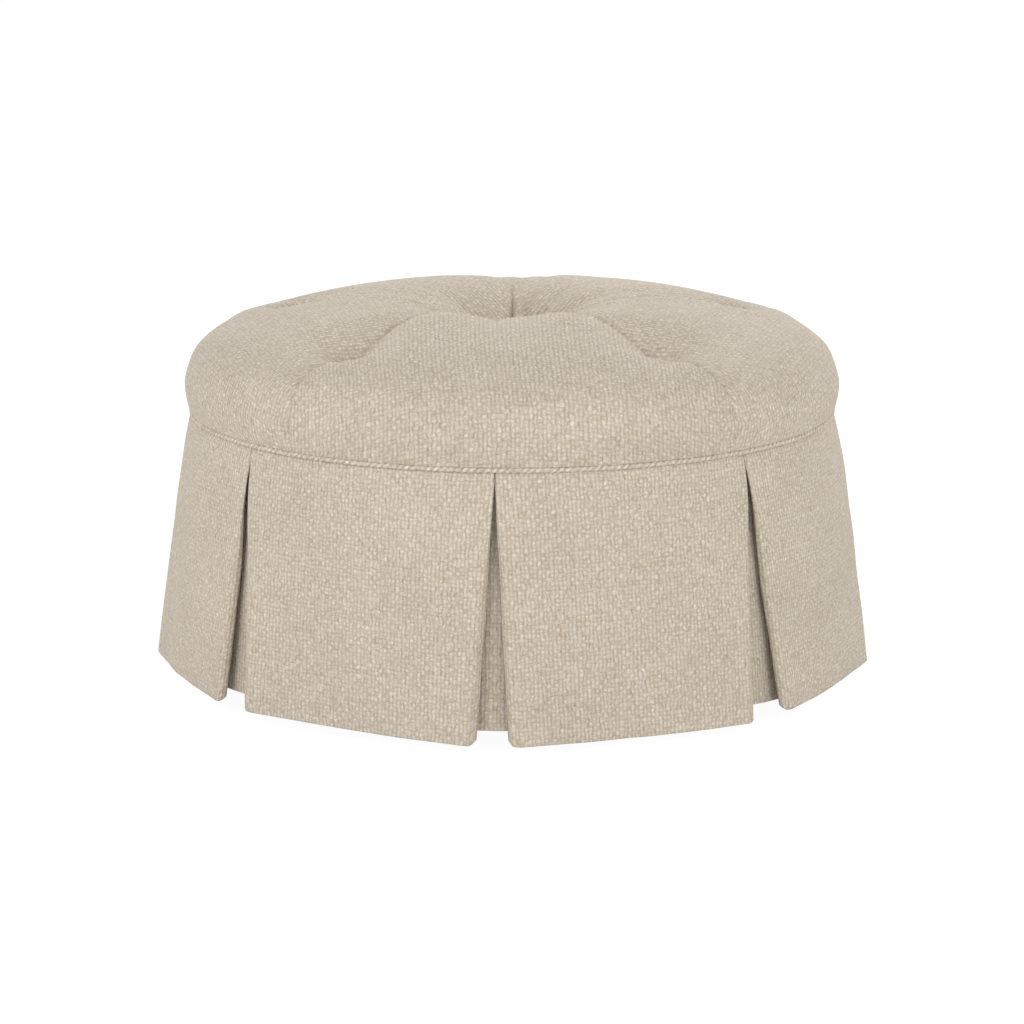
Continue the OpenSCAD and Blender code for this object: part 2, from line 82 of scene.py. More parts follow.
TUFTS = 5
FRONT_LOBE = math.radians(79)    # the wedge that faces the front is wider than the others
OTHER_LOBE = (math.tau - FRONT_LOBE) / (TUFTS - 1)
LOBE_TURN = math.radians(2.8)
FOLD_A = [LOBE_TURN - FRONT_LOBE / 2]
FOLD_A += [LOBE_TURN + FRONT_LOBE / 2 + k * OTHER_LOBE for k in range(TUFTS)]
TUFT_R = 0.305           # radius of the ring of tufts
TUFT_Q = TUFT_R / FULL_R
DRIFT = -0.0115          # the tufts sit a little to one side, as hand work leaves them

PIPING_R = 0.407         # radius of the ring that the piping makes
PIPING_Z = 0.3278        # height of its middle
PIPING_D = 0.0066        # thickness half-way up its ridges
RIDGES = 300             # strands of bias-cut cloth that show round the piping

SKIRT_TOP = 0.3246
SKIRT_H = 0.3126
HEM_R = 0.4585           # out to the corners of the panels
TOP_ROLL, HEM_ROLL = 0.003, 0.013    # radius of a panel's rolled edges, at its top and its hem
PLEATS = 8
PITCH = math.tau / PLEATS
PANEL_T = 0.0027         # face cloth, interlining and lining together
BACKING_R = 0.4035       # the flaps at their tops
BACKING_HEM_R = HEM_R - HEM_ROLL - 0.0105
BACKING_LIFT = 0.0107    # how much higher than the panels' their hems hang
BACKING_W = 0.15
BACKING_L = round(math.hypot(SKIRT_TOP - 0.0123 - BACKING_LIFT, BACKING_HEM_R - BACKING_R), 4)
BACKING_T = 0.0015
DUST_R = 0.395           # the dust cover as cut
print("cushion", round(2 * FULL_R, 3), "m across, skirt", round(2 * HEM_R, 3), "m at the hem")


# %% Points on circles and plain meshes
def round_point(r, a, z):
    """Points at radius r and height z. Angle a starts at the front and grows towards +X."""
    r, a, z = np.broadcast_arrays(r, a, z)
    return np.stack([r * np.sin(a), -r * np.cos(a), z], -1)


def ease(x):
    s = np.clip(x, 0, 1)
    return s * s * (3 - 2 * s)


def bump_at(distance, width):
    return np.exp(-(distance / width) ** 2)


def linked(name, data):
    made = bpy.data.objects.new(name, data)
    bpy.context.scene.collection.objects.link(made)
    return made


def piece(name, points, faces, uv=None, slots=None, edges=()):
    """A mesh object at the origin. uv holds one pair for each corner, in the order of the faces."""
    mesh = bpy.data.meshes.new(name)
    mesh.from_pydata([tuple(map(float, p)) for p in points], edges,
                     [tuple(map(int, f)) for f in faces])
    if uv is not None:
        layer = mesh.uv_layers.new(name="UVMap")
        layer.data.foreach_set("uv", np.asarray(uv, dtype=np.float32).ravel())
    if slots is not None:
        mesh.polygons.foreach_set("material_index", np.asarray(slots, dtype=np.int32))
    mesh.polygons.foreach_set("use_smooth", [True] * len(mesh.polygons))
    mesh.update()
    return linked(name, mesh)


def quads(rings, n, first=0):
    """Faces between closed rings of n points each, of which the first has the number first."""
    starts = [first + i * n for i in range(rings - 1)]
    return [(s + j, s + j + n, s + (j + 1) % n + n, s + (j + 1) % n)
            for s in starts for j in range(n)]


def cap(n):
    """Faces from point 0 to the ring of n points after it."""
    return [(0, 1 + j, 1 + (j + 1) % n) for j in range(n)]


def closed(name, first_pole, rings, last_pole):
    """A closed piece from one pole, through rings of points, to another."""
    n = len(rings[0])
    points = np.vstack([first_pole] + rings + [last_pole])
    top, last = 1 + (len(rings) - 1) * n, len(points) - 1
    end = [(top + j, last, top + (j + 1) % n) for j in range(n)]
    return piece(name, points, cap(n) + quads(len(rings), n, 1) + end)


def vectors(items, what):
    """One vector of each point, as the rows of an array."""
    flat = np.zeros(3 * len(items), dtype=np.float32)
    items.foreach_get(what, flat)
    return flat.reshape(-1, 3).astype(float)


def put_points(mesh, points):
    mesh.vertices.foreach_set("co", points.astype(np.float32).ravel())
    mesh.update()


def applied(obj):
    """Turns what the modifiers show into the object's own plain mesh, and removes them."""
    bpy.context.view_layer.update()
    graph = bpy.context.evaluated_depsgraph_get()
    mesh = bpy.data.meshes.new_from_object(obj.evaluated_get(graph), preserve_all_data_layers=True,
                                           depsgraph=graph)
    obj.modifiers.clear()
    old = obj.data
    obj.data = mesh
    mesh.name = obj.name
    bpy.data.meshes.remove(old)
    return obj


def triangles(obj):
    return sum(len(p.vertices) - 2 for p in obj.data.polygons)


print("helpers are ready")

# %% [markdown]
# ## Woven cloth as a node group
# The cover is a coarse plain weave: each pale, uneven yarn goes over one and under the next. The
# group draws that from the cloth's own flat coordinates in metres, so the yarns keep one width over
# every fold. It gives a colour and a height. The yarns differ in tone along their length, which is
# what makes such cloth look lively from a step away.


# %% A short way to write shader maths
class Net:
    """Adds nodes to a tree, and hands back their outputs."""

    def __init__(self, tree):
        self.tree = tree
        self.count = 0

    def node(self, kind, **settings):
        made = self.tree.nodes.new(kind)
        made.location = (180 * (self.count % 12), -220 * (self.count // 12))
        self.count += 1
        for key, value in settings.items():
            setattr(made, key, value)
        return made

    def feed(self, socket, value):
        if isinstance(value, bpy.types.NodeSocket):
            self.tree.links.new(value, socket)
        else:
            socket.default_value = value

    def fill(self, node, values):
        """Feeds inputs of a node, by their names or numbers."""
        for key, value in values.items():
            self.feed(node.inputs[key], value)

    def step(self, kind, values, **settings):
        """Adds a node, feeds it, and returns its first output."""
        made = self.node(kind, **settings)
        self.fill(made, values)
        return made.outputs[0]

    def math(self, operation, *values, clamp=False):
        return self.step("ShaderNodeMath", dict(enumerate(values)), operation=operation,
                         use_clamp=clamp)

    def plus(self, a, b, clamp=False):
        return self.math("ADD", a, b, clamp=clamp)

    def minus(self, a, b, clamp=False):
        return self.math("SUBTRACT", a, b, clamp=clamp)

    def times(self, a, b):
        return self.math("MULTIPLY", a, b)

    def over(self, a, b):
        return self.math("DIVIDE", a, b)

    def more(self, a, b):
        return self.math("GREATER_THAN", a, b)

    def absolute(self, value):
        return self.math("ABSOLUTE", value)

    def range(self, *values):
        """Moves a value from one range to another, which is 0 to 1 when it isn't given."""
        return self.step("ShaderNodeMapRange", dict(enumerate(values)))

    def xyz(self, value):
        made = self.node("ShaderNodeSeparateXYZ")
        self.feed(made.inputs[0], value)
        return made.outputs

    def join(self, x, y, z):
        return self.step("ShaderNodeCombineXYZ", {0: x, 1: y, 2: z})

    def object_place(self):
        return self.node("ShaderNodeTexCoord").outputs["Object"]

    def mapped(self, place, **how):
        return self.step("ShaderNodeMapping", {"Vector": place, **how})

    def noise(self, place, scale, detail=2.0, roughness=0.5):
        return self.step("ShaderNodeTexNoise", {"Vector": place, "Scale": scale, "Detail": detail,
                                                "Roughness": roughness})

    def mix(self, share, a, b, blend="MIX"):
        made = self.node("ShaderNodeMix", data_type="RGBA", blend_type=blend)
        self.fill(made, {0: share, 6: a, 7: b})
        return made.outputs[2]

    def shade(self, colour, value):
        """A colour times a value."""
        return self.mix(1.0, colour, self.join(value, value, value), "MULTIPLY")


KINDS = {"value": "Float", "count": "Int", "colour": "Color", "vector": "Vector",
         "material": "Material", "geometry": "Geometry"}


def add_sockets(tree, way, wanted):
    """Gives a tree named inputs or outputs, and returns their identifiers."""
    made = {}
    for label, kind, *start in wanted:
        socket = tree.interface.new_socket(name=label, in_out=way,
                                           socket_type="NodeSocket" + KINDS[kind])
        if start:
            socket.default_value = start[0]
        made[label] = socket.identifier
    return made


def group(name, inputs, outputs):
    """An empty shader node group with typed inputs and outputs, as a Net to fill it with."""
    net = Net(bpy.data.node_groups.new(name, "ShaderNodeTree"))
    add_sockets(net.tree, "INPUT", inputs)
    add_sockets(net.tree, "OUTPUT", outputs)
    return net, net.node("NodeGroupInput").outputs, net.node("NodeGroupOutput")


def srgb(r, g, b):
    """A colour as the eye names it, from 0 to 255, as the linear values that Blender wants."""
    c = np.array([r, g, b]) / 255
    c = np.where(c <= 0.04045, c / 12.92, ((c + 0.055) / 1.055) ** 2.4)
    return (*[float(x) for x in c], 1.0)


print("srgb(200, 189, 173) is", [round(x, 3) for x in srgb(200, 189, 173)])


# %% The plain weave group
def make_weave():
    net, given, out = group(
        "plain weave",
        [("Cloth place", "vector"), ("Yarn width", "value", 0.0049),
         ("Pale yarn", "colour", srgb(232, 226, 217)), ("Dark yarn", "colour", srgb(172, 157, 133)),
         ("Gap", "colour", srgb(205, 180, 145)), ("Gap shade", "value", 0.42),
         ("Slub length", "value", 1.1)],
        [("Color", "colour"), ("Height", "value")])
    # Hand-spun yarns don't lie quite straight
    place = given["Cloth place"]
    x, y, _ = net.xyz(place)
    scale = net.over(1.0, given["Yarn width"])
    sway_x = net.range(net.noise(place, 100.0, 1.0), 0.0, 1.0, -0.55, 0.55)
    sway_y = net.range(net.noise(net.join(y, x, 0.37), 100.0, 1.0), 0.0, 1.0, -0.55, 0.55)
    u = net.plus(net.times(x, scale), sway_x)
    v = net.plus(net.times(y, scale), sway_y)
    su = net.math("SINE", net.times(u, math.pi))
    sv = net.math("SINE", net.times(v, math.pi))
    cross = net.times(net.times(su, sv), 0.5)
    across_u, across_v = net.absolute(su), net.absolute(sv)
    warp = net.plus(net.times(across_u, 0.5), cross)
    weft = net.minus(net.times(across_v, 0.5), cross)
    height = net.math("MAXIMUM", warp, weft)
    # Each yarn has its own tone and thick pale slubs. The upright yarns are a little paler.
    length = given["Slub length"]
    warp_place = net.join(net.times(net.math("FLOOR", u), 7.3), net.times(v, length), 3.1)
    weft_place = net.join(net.times(net.math("FLOOR", v), 7.3), net.times(u, length), 57.9)
    tones = {0: net.more(warp, weft),
             2: net.range(net.noise(weft_place, 1.0, 2.0, 0.6), 0.2, 0.9),
             3: net.range(net.noise(warp_place, 1.0, 2.0, 0.6), 0.13, 0.83)}
    fibres = net.range(net.noise(place, 420.0, 2.0), 0.0, 1.0, -0.3, 0.3)
    # Painted highlight: the crest of each yarn is made a little paler
    crest = net.range(height, 0.3, 1.0, -0.06, 0.06)
    tone = net.plus(net.step("ShaderNodeMix", tones, data_type="FLOAT"), net.plus(fibres, crest),
                    clamp=True)
    colour = net.mix(tone, given["Dark yarn"], given["Pale yarn"])
    # Painted shade: the gaps between the yarns are darkened towards the Gap colour, as if
    # in shade, the deeper gaps between upright yarns the most, which makes columns
    column = net.math("POWER", across_u, 1.3)
    lit = net.plus(net.times(column, 0.32), net.times(height, 0.68))
    gap = net.times(given["Gap shade"], net.minus(1.0, lit, clamp=True))
    net.fill(out, {"Color": net.mix(gap, colour, given["Gap"], "MULTIPLY"),
                   "Height": net.plus(net.times(lit, 0.8), net.times(tone, 0.35))})
    return net.tree


weave = make_weave()
print("the weave group has", len(weave.nodes), "nodes")


# %% Materials that use it
def material(name, **constants):
    """A material, a Net for its tree, and its shader with constant values."""
    made = bpy.data.materials.new(name)
    made.use_nodes = True
    shader = made.node_tree.nodes["Principled BSDF"]
    for label, value in constants.items():
        shader.inputs[label.replace("_", " ")].default_value = value
    return made, Net(made.node_tree), shader


def place_in(net, tree, values):
    """Puts a node group in a material and returns its outputs."""
    made = net.node("ShaderNodeGroup", node_tree=tree)
    net.fill(made, values)
    return made.outputs


def bumped(net, shader, colour, height, distance):
    """Gives a shader its colour, and a relief of a height times a distance."""
    relief = net.step("ShaderNodeBump", {"Height": height, "Distance": distance})
    net.fill(shader, {"Base Color": colour, "Normal": relief})


# gap is how strongly the weave paints shade into the gaps between the yarns
def woven(name, pale, dark, yarn=0.0049, turn=0.0, relief=0.0010, gap=0.42, strands=None):
    """Woven cloth. strands holds how many of them there are in a metre, along and around a cord.
    Each such strand gets a painted highlight, and the gap beside it painted shade.
    """
    made, net, shader = material(name, Roughness=0.92, Specular_IOR_Level=0.2, Sheen_Weight=0.08)
    uv = net.node("ShaderNodeUVMap", uv_map="UVMap").outputs[0]
    place = net.mapped(uv, Rotation=(0, 0, turn))
    cloth = place_in(net, weave, {"Cloth place": place, "Yarn width": yarn, "Pale yarn": pale,
                                  "Dark yarn": dark, "Gap shade": gap})
    broad = net.range(net.noise(place, 9.0, 2.0), 0.3, 0.7, 0.97, 1.03)
    colour = net.shade(cloth["Color"], broad)
    if strands:
        # On the bias each strand crosses the cord at a slant. Painted highlight and shade: each
        # strand is made paler, as lit, and the gap beside it darker, as in shade
        along, around, _ = net.xyz(uv)
        phase = net.plus(net.times(along, strands[0]), net.times(around, strands[1]))
        wave = net.math("SINE", net.times(phase, math.tau))
        colour = net.shade(colour, net.range(wave, -1.0, 1.0, 0.84, 1.12))
    bumped(net, shader, colour, cloth["Height"], relief)
    return made


PALE, DARK = srgb(240, 234, 224), srgb(181, 166, 141)
# The cover is drawn tight over the lobes, so its yarns lie a little wider apart there
SEAT_CLOTH = woven("seat linen", PALE, DARK, yarn=0.0054)
SKIRT_CLOTH = woven("skirt linen", PALE, DARK)
# The piping's strands have a painted highlight, with painted shade in the gaps between them
PIPING_CLOTH = woven("piping linen", PALE, DARK, turn=math.radians(-45), relief=0.0006, gap=0.3,
                     strands=(RIDGES / (math.tau * PIPING_R), 2 / (math.pi * PIPING_D)))
LINING = woven("skirt lining", srgb(216, 209, 196), srgb(200, 192, 178), yarn=0.0008,
               relief=0.0002, gap=0.2)
print("woven cloths:", [m.name for m in (SEAT_CLOTH, SKIRT_CLOTH, PIPING_CLOTH, LINING)])

# %% [markdown]
# ## The tufted cushion
# The real cover is five wedges of cloth, sewn together along the folds that run from the middle
# tuft, through the ring of tufts, down to the piping. A net of rows and columns follows those
# wedges, so that each one can have flat coordinates with the weave along its own axis. Columns
# crowd at the folds and rows at the tufts, where the cloth turns sharply.

# %% The cushion's resting form
# How deep and how wide the stitching draws the plain dome in
FOLD_DEEP, FOLD_WIDE = 0.0015, 0.005                     # a fold, all along
VALLEY_DEEP, VALLEY_WIDE = 0.006, 0.012                  # the twine pulls it down inside the ring
VALLEY_R, VALLEY_LONG = 0.245, 0.035
CENTRE_DEEP, CENTRE_WIDE = 0.045, 0.105                  # the hollow in the middle
STEEP_DEEP, STEEP_R, STEEP_WIDE = 0.008, 0.045, 0.028    # its slope near the tuft
RING_DEEP, RING_WIDE, RING_LONG = 0.0215, 0.032, 0.090   # the hollow of each tuft of the ring
FRONT_OUT, OTHER_OUT = 0.034, 0.016                      # its reach towards the rim
TIP_DEEP, TIP_WIDE = 0.018, 0.022                        # the pit of any tuft
# Where hand stuffing raised it
RIM_FULL, RIM_R, RIM_WIDE = 0.0036, 0.395, 0.03
SHOULDER_FULL, SHOULDER_R, SHOULDER_WIDE = 0.005, 0.365, 0.035
BACK_FOLD = 3
SIDE_FOLDS = (2, 4)


def stitches(r, a):
    """The way across to the nearest fold, with its sign, the way to its tuft, and its number."""
    turns = np.stack([np.mod(a - fold + math.pi, math.tau) - math.pi for fold in FOLD_A[:TUFTS]])
    nearest = np.argmin(np.abs(turns), axis=0)
    off = np.take_along_axis(turns, nearest[None], 0)[0]
    across = r * np.sin(off)
    return across, np.hypot(r * np.cos(off) - TUFT_R, across), nearest


def tip(away):
    return TIP_DEEP * np.exp(-away / TIP_WIDE)


def dip(r, a):
    """How far the folds and tufts lie under the plain dome."""
    across, away, nearest = stitches(r, a)
    across = np.abs(across)
    valley = VALLEY_DEEP * np.exp(-(across / VALLEY_WIDE) ** 1.5)
    valley = valley * bump_at(r - VALLEY_R, VALLEY_LONG) * (nearest != BACK_FOLD)
    fold = FOLD_DEEP * np.exp(-across / FOLD_WIDE) + valley
    centre = CENTRE_DEEP * np.exp(-(r / CENTRE_WIDE) ** 2.1)
    centre = centre + STEEP_DEEP * bump_at(r - STEEP_R, STEEP_WIDE) + tip(r)
    out = np.where(nearest < 2, FRONT_OUT, OTHER_OUT)
    along = ((r - TUFT_R) / np.where(r < TUFT_R, RING_LONG, out)) ** 2
    tuft = RING_DEEP * np.exp(-along - (across / RING_WIDE) ** 1.3) + tip(away)
    return (fold ** 3 + centre ** 3 + tuft ** 3) ** (1 / 3)


def drift(q, y):
    """The tufts of the front half sit to one side. It dies out towards the rim and the back."""
    return DRIFT * (1 - q ** 4) * ease((0.05 - y) / 0.2)


def undrifted(p):
    """x and y of points as they would be with the tufts in the middle."""
    share = np.minimum(1, np.hypot(p[:, 0], p[:, 1]) / FULL_R)
    return p[:, 0] - drift(share, p[:, 1]), p[:, 1]


def rim_fill(r):
    return RIM_FULL * bump_at(r - RIM_R, RIM_WIDE)


def plump(r, a):
    """How far the stuffing raises the dome: two crests beside the front wedge's middle, the back
    behind its fold, the side folds' shoulders, and the rim."""
    x, y = r * np.sin(a - LOBE_TURN), -r * np.cos(a - LOBE_TURN)
    crests = 0.005 * bump_at(np.hypot(np.abs(x) - 0.080, y + 0.165), 0.045)
    crests = crests - 0.0065 * bump_at(np.hypot(x, y + 0.170), 0.038)
    behind = a - FOLD_A[BACK_FOLD]
    back = 0.011 * bump_at(r - 0.362, 0.026) * bump_at(r * np.sin(behind), 0.060)
    shoulders = sum(bump_at(np.hypot(r * np.cos(off) - SHOULDER_R, r * np.sin(off)), SHOULDER_WIDE)
                    for off in [a - FOLD_A[k] for k in SIDE_FOLDS])
    return crests + back * (np.cos(behind) > 0) + SHOULDER_FULL * shoulders + rim_fill(r)


def dome_point(q, a, depth=0.0):
    """Points over the top, at share q of the way out, and at a depth under the face."""
    rise = np.maximum(0, 1 - q ** RIM_POWER) ** (1 / RIM_POWER)
    nr, nz = q ** (RIM_POWER - 1) / FULL_R, rise ** (RIM_POWER - 1) / DOME_H
    long = np.hypot(nr, nz)
    fade = 1 - 0.97 * np.maximum(0, q - TUFT_Q) / (1 - TUFT_Q)
    d = depth + fade * dip(q * FULL_R, a) - plump(q * FULL_R, a)
    p = round_point(q * FULL_R - d * nr / long, a, FULL_Z + DOME_H * rise - d * nz / long)
    p[..., 0] += drift(q, p[..., 1])
    return p


def side_point(turn, a, depth=0.0):
    """Points down the side, which turns from upright to the seam."""
    full = (FULL_R - SEAM_R) * np.cos(turn) + rim_fill(FULL_R) * np.cos(turn) ** 2
    r = SEAM_R + full - depth - 0.03 * np.cos(turn) * dip(FULL_R, a)
    return round_point(r, a, FULL_Z - (FULL_Z - SEAM_Z) * np.sin(turn))


def crowded(count, spots, width, gain):
    """Shares from 0 to 1 that lie closer together near the given spots."""
    fine = np.linspace(0, 1, 2001)
    weight = 1 + sum(gain * bump_at(fine - s, width) for s in spots)
    total = np.concatenate([[0], np.cumsum((weight[1:] + weight[:-1]) / 2)])
    return np.interp(np.linspace(0, 1, count + 1), total / total[-1], fine)


COLS = 40                # columns in each wedge
top_q = crowded(54, [0.0, TUFT_Q], 0.07, 1.3)[1:]
side_turn = np.radians([9, 18, 27, 36, 45, 54, 62, 70, 77, 83, 87, 90])
print(len(top_q), "rows over the top and", len(side_turn), "down the side")

# %% Rows and columns of the cushion
share = np.arange(COLS) / COLS
share = share - 0.6 * np.sin(math.tau * share) / math.tau
angles = np.concatenate([FOLD_A[k] + (FOLD_A[k + 1] - FOLD_A[k]) * share for k in range(TUFTS)])
# The cloth turns in over the piping, and its edge goes down to the staples
FOOT_PATH = [(SEAM_R - 0.0012, 0.3313), (SEAM_R - 0.0022, 0.3315), (0.4030, 0.3315),
             (0.4010, 0.3310), (0.4001, 0.3296), (0.3999, 0.3270), (0.3999, 0.3200),
             (0.3999, FIXING_Z)]


def cushion_rows(depths):
    """Rows over the top and down the side, at depths under the face."""
    depths = np.broadcast_to(depths, (len(top_q) + len(side_turn), len(angles)))
    rows = [dome_point(q, angles, d) for q, d in zip(top_q, depths)]
    return rows + [side_point(t, angles, d) for t, d in zip(side_turn, depths[len(top_q):])]


pole = dome_point(0.0, 0.0)
foot_rows = [round_point(r, angles, z) for r, z in FOOT_PATH]
rows = cushion_rows(0.0) + foot_rows
path = np.stack([np.repeat(pole[None], len(angles), 0)] + rows)
reach = np.cumsum(np.linalg.norm(np.diff(path, axis=0), axis=2), axis=0)
print("cloth from the middle to the staples:", round(float(reach[-1].mean()), 3), "m")

# %% Flat coordinates of the five wedges
WEDGE_STEP = np.array([0.731, 1.37])    # each wedge is cut from another place of the cloth


def wedge_corner_places(rows, reach):
    """u and v in metres for each row of each wedge, from its left fold to its right one."""
    n = len(angles)
    radius = np.stack([np.hypot(*undrifted(p)) for p in rows])
    step = np.diff(np.vstack([np.zeros(n), reach]), axis=0)
    # Over the top the cloth lies flat, and down the side it wraps the rim
    wrap = ease((reach - 0.27) / 0.16)
    places = []
    for k in range(TUFTS):
        first = k * COLS
        cols = np.arange(first, first + COLS + 1) % n
        off = np.append(angles[first:first + COLS], FOLD_A[k + 1])
        off = off - (FOLD_A[k] + FOLD_A[k + 1]) / 2
        w = wrap[:, cols]
        u = radius[:, cols] * ((1 - w) * np.sin(off) + w * off)
        v = np.cumsum(step[:, cols] * ((1 - w) * np.cos(off) + w), axis=0)
        places.append(np.stack([u, v], -1) + (k + 1) * WEDGE_STEP)
    return places


def cloth_dome(name, rows, pole, places):
    """A dome through rows of points. Each wedge keeps its own flat coordinates."""
    n = len(rows[0])
    wedges = [(places[j // COLS], j // COLS, j % COLS) for j in range(n)]
    uv = []
    for p, k, c in wedges:
        uv += [(k + 1) * WEDGE_STEP, p[0, c], p[0, c + 1]]
    for i in range(len(rows) - 1):
        for p, k, c in wedges:
            uv += [p[i, c], p[i + 1, c], p[i + 1, c + 1], p[i, c + 1]]
    return piece(name, np.vstack([pole] + rows), cap(n) + quads(len(rows), n, 1), uv)


places = wedge_corner_places(rows, reach)
print("wedge 1 is", round(float(np.ptp(places[0][..., 0])), 3), "m wide and",
      round(float(np.ptp(places[0][..., 1])), 3), "m long when cut flat")

# %% [markdown]
# ## Filling the cushion with a cloth simulation
# A stuffed cover isn't a smooth dome: between the places where it is held it swells, and near them
# it stays drawn. Blender's Cloth does just that when it is given air pressure and no gravity. The
# tufts, the folds and the bottom seam are pinned. The cover starts a little inside its final form,
# and no point may go further than the real filling would push it.

# %% Swell the cover
START_IN = 0.002
CLOTH = {"vertex_group_mass": "held", "use_pressure": True, "mass": 0.1, "quality": 5,
         "tension_stiffness": 3, "compression_stiffness": 3, "shear_stiffness": 1,
         "bending_stiffness": 0.3}


def held_shares(rows):
    """How firmly each point is held, from 0 to 1, in the order of the mesh's points."""
    shares = [1.0]
    for p in rows:
        r = np.hypot(*undrifted(p))
        across, away, _ = stitches(r, angles)
        tuft = np.maximum(bump_at(away, 0.022), bump_at(r, 0.022))
        fold = 0.75 * bump_at(across, 0.007)
        foot = ease((SEAM_Z + 0.006 - p[:, 2]) / 0.006)
        shares += list(np.clip(np.maximum(np.maximum(tuft, fold), foot), 0, 1))
    return shares


def swell(obj, shares, pressure, frames, most):
    """Runs Cloth with air pressure and no gravity, and returns how far each point moved."""
    scene = bpy.context.scene
    held = obj.vertex_groups.new(name="held")
    for i, share in enumerate(shares):
        if share > 0.02:
            held.add([i], float(share), "REPLACE")
    cloth = obj.modifiers.new("Cloth", "CLOTH")
    for key, value in CLOTH.items():
        setattr(cloth.settings, key, value)
    cloth.settings.uniform_pressure_force = pressure
    cloth.settings.effector_weights.gravity = 0
    cloth.collision_settings.use_collision = False
    cloth.point_cache.frame_start = scene.frame_start = 1
    cloth.point_cache.frame_end = scene.frame_end = frames
    for f in range(1, frames + 1):
        scene.frame_set(f)
    shown = obj.evaluated_get(bpy.context.evaluated_depsgraph_get())
    moved = vectors(shown.data.vertices, "co") - vectors(obj.data.vertices, "co")
    scene.frame_set(1)
    obj.modifiers.clear()
    obj.vertex_groups.clear()
    # The filling lets no point go inwards
    outward = vectors(obj.data.vertex_normals, "vector")
    moved += outward * np.maximum(0, -(moved * outward).sum(1))[:, None]
    far = np.linalg.norm(moved, axis=1)
    print("swelling: mean", round(float(far.mean()) * 1000, 2), "mm, most",
          round(float(far.max()) * 1000, 2), "mm before the cap")
    return moved * (np.minimum(far, most) / np.maximum(far, 1e-9))[:, None]


shares = held_shares(rows)
free = START_IN * (1 - np.array(shares[1:]).reshape(len(rows), -1))
start_rows = cushion_rows(free[:-len(foot_rows)]) + foot_rows
cover = cloth_dome("cushion-cover", start_rows, pole, places)
start = vectors(cover.data.vertices, "co")
aim = np.vstack([pole] + rows)
moved = swell(cover, shares, pressure=10.0, frames=20, most=0.003)
swollen = start + moved
put_points(cover.data, swollen)
print("it ends", round(float(np.linalg.norm(swollen - aim, axis=1).mean()) * 1000, 2),
      "mm from the fitted form")

# %% [markdown]
# ## Seams and drawn cloth
# Small things come after the swelling: the sewn valley along each fold, the short puckers that
# cross it, the pleats that run into each tuft, and the gathers over the piping. Each is a height
# along the surface's own normal, made of a few waves with a fixed seed.


# %% Waves with a fixed seed
def waves(seed, shortest, longest, count=9):
    """A smooth uneven line: a sum of waves between two lengths, with values near -1 to 1."""
    chance = np.random.default_rng(seed)
    lengths = np.exp(chance.uniform(math.log(shortest), math.log(longest), count))
    turns = chance.uniform(0, math.tau, count)
    return lambda x: sum(np.cos(math.tau * x / long + turn)
                         for long, turn in zip(lengths, turns)) / math.sqrt(count / 2) / 1.6


def turn_waves(seed, low, high, count=5):
    """An uneven line round a circle, with a whole number of waves, so that it closes."""
    chance = np.random.default_rng(seed)
    times = chance.integers(low, high + 1, count)
    turns = chance.uniform(0, math.tau, count)
    return lambda x: sum(np.cos(k * x + turn) for k, turn in zip(times, turns)) / math.sqrt(count)


# Creases that fan out of each tuft: middle, how many, how deep, how long, and how sharp
FANS = [(0.0, 0.0, 17, 0.0145, 0.110, 1.15), (0.0, 0.0, 29, 0.0055, 0.030, 1.6)]
FANS += [(TUFT_R * math.sin(f), -TUFT_R * math.cos(f), 11, 0.0045, 0.030, 1.6)
         for f in FOLD_A[:TUFTS]]


def crease_heights(points):
    """How far seams, puckers, creases and gathers move each point of the cover outwards."""
    x, y = undrifted(points)
    z = points[:, 2]
    r, a = np.hypot(x, y), np.arctan2(x, -y)
    across, from_tuft, nearest = stitches(r, a)
    dist = np.abs(across)
    # One length for all points: the way from the middle, over the top and down the side
    way = r + np.maximum(0, FULL_Z + 0.03 - z)
    seam_open = ease((r - 0.02) / 0.03) * ease((z - SEAM_Z - 0.002) / 0.015)
    seam_open *= 1 - bump_at(from_tuft, 0.008)
    seam_open *= np.where(nearest == BACK_FOLD, 1 - 0.75 * ease((r - 0.08) / 0.1), 1.0)
    seam_open *= np.where(nearest > 1, 1 - 0.7 * bump_at(r - SHOULDER_R, 0.04), 1.0)
    seam_open *= np.where(np.isin(nearest, SIDE_FOLDS), 1 - 0.7 * ease((0.27 - r) / 0.04), 1.0)
    rough = 0.0011 * (0.2 + 0.8 * ease((r - 0.26) / 0.06))
    height = -0.0034 * bump_at(dist, 0.0034) * seam_open
    for k in range(TUFTS):
        for side in (-1, 1):
            here = (nearest == k) * (np.sign(across) == side)
            pucker = waves(40 + 2 * k + (side > 0), 0.013, 0.034)(way)
            height += here * rough * np.exp(-dist / 0.013) * pucker * seam_open
    for n, (sx, sy, creases, deep, long, sharp) in enumerate(FANS):
        away, turn = np.hypot(x - sx, y - sy), np.arctan2(y - sy, x - sx)
        bend = 1.2 * turn_waves(70 + n, 1, 4)(turn) + 5 * away * turn_waves(80 + n, 1, 5)(turn)
        ridge = 1 - np.abs(np.cos(creases * turn / 2 + bend + n))
        own = np.clip(0.6 + 0.45 * turn_waves(100 + n, 2, 9)(turn), 0.1, 1.0)
        fading = np.exp(-away / long) * ease(away / 0.018) * (z > FULL_Z)
        height -= deep * own * ridge ** sharp * fading
    above = z - SEAM_Z
    gather = waves(90, 0.014, 0.050)(a * SEAM_R) + 0.7 * waves(91, 0.05, 0.2)(a * SEAM_R)
    height += 0.0006 * gather * np.exp(-np.maximum(0, above) / 0.014) * (above > 0.001) * (r > 0.39)
    return height


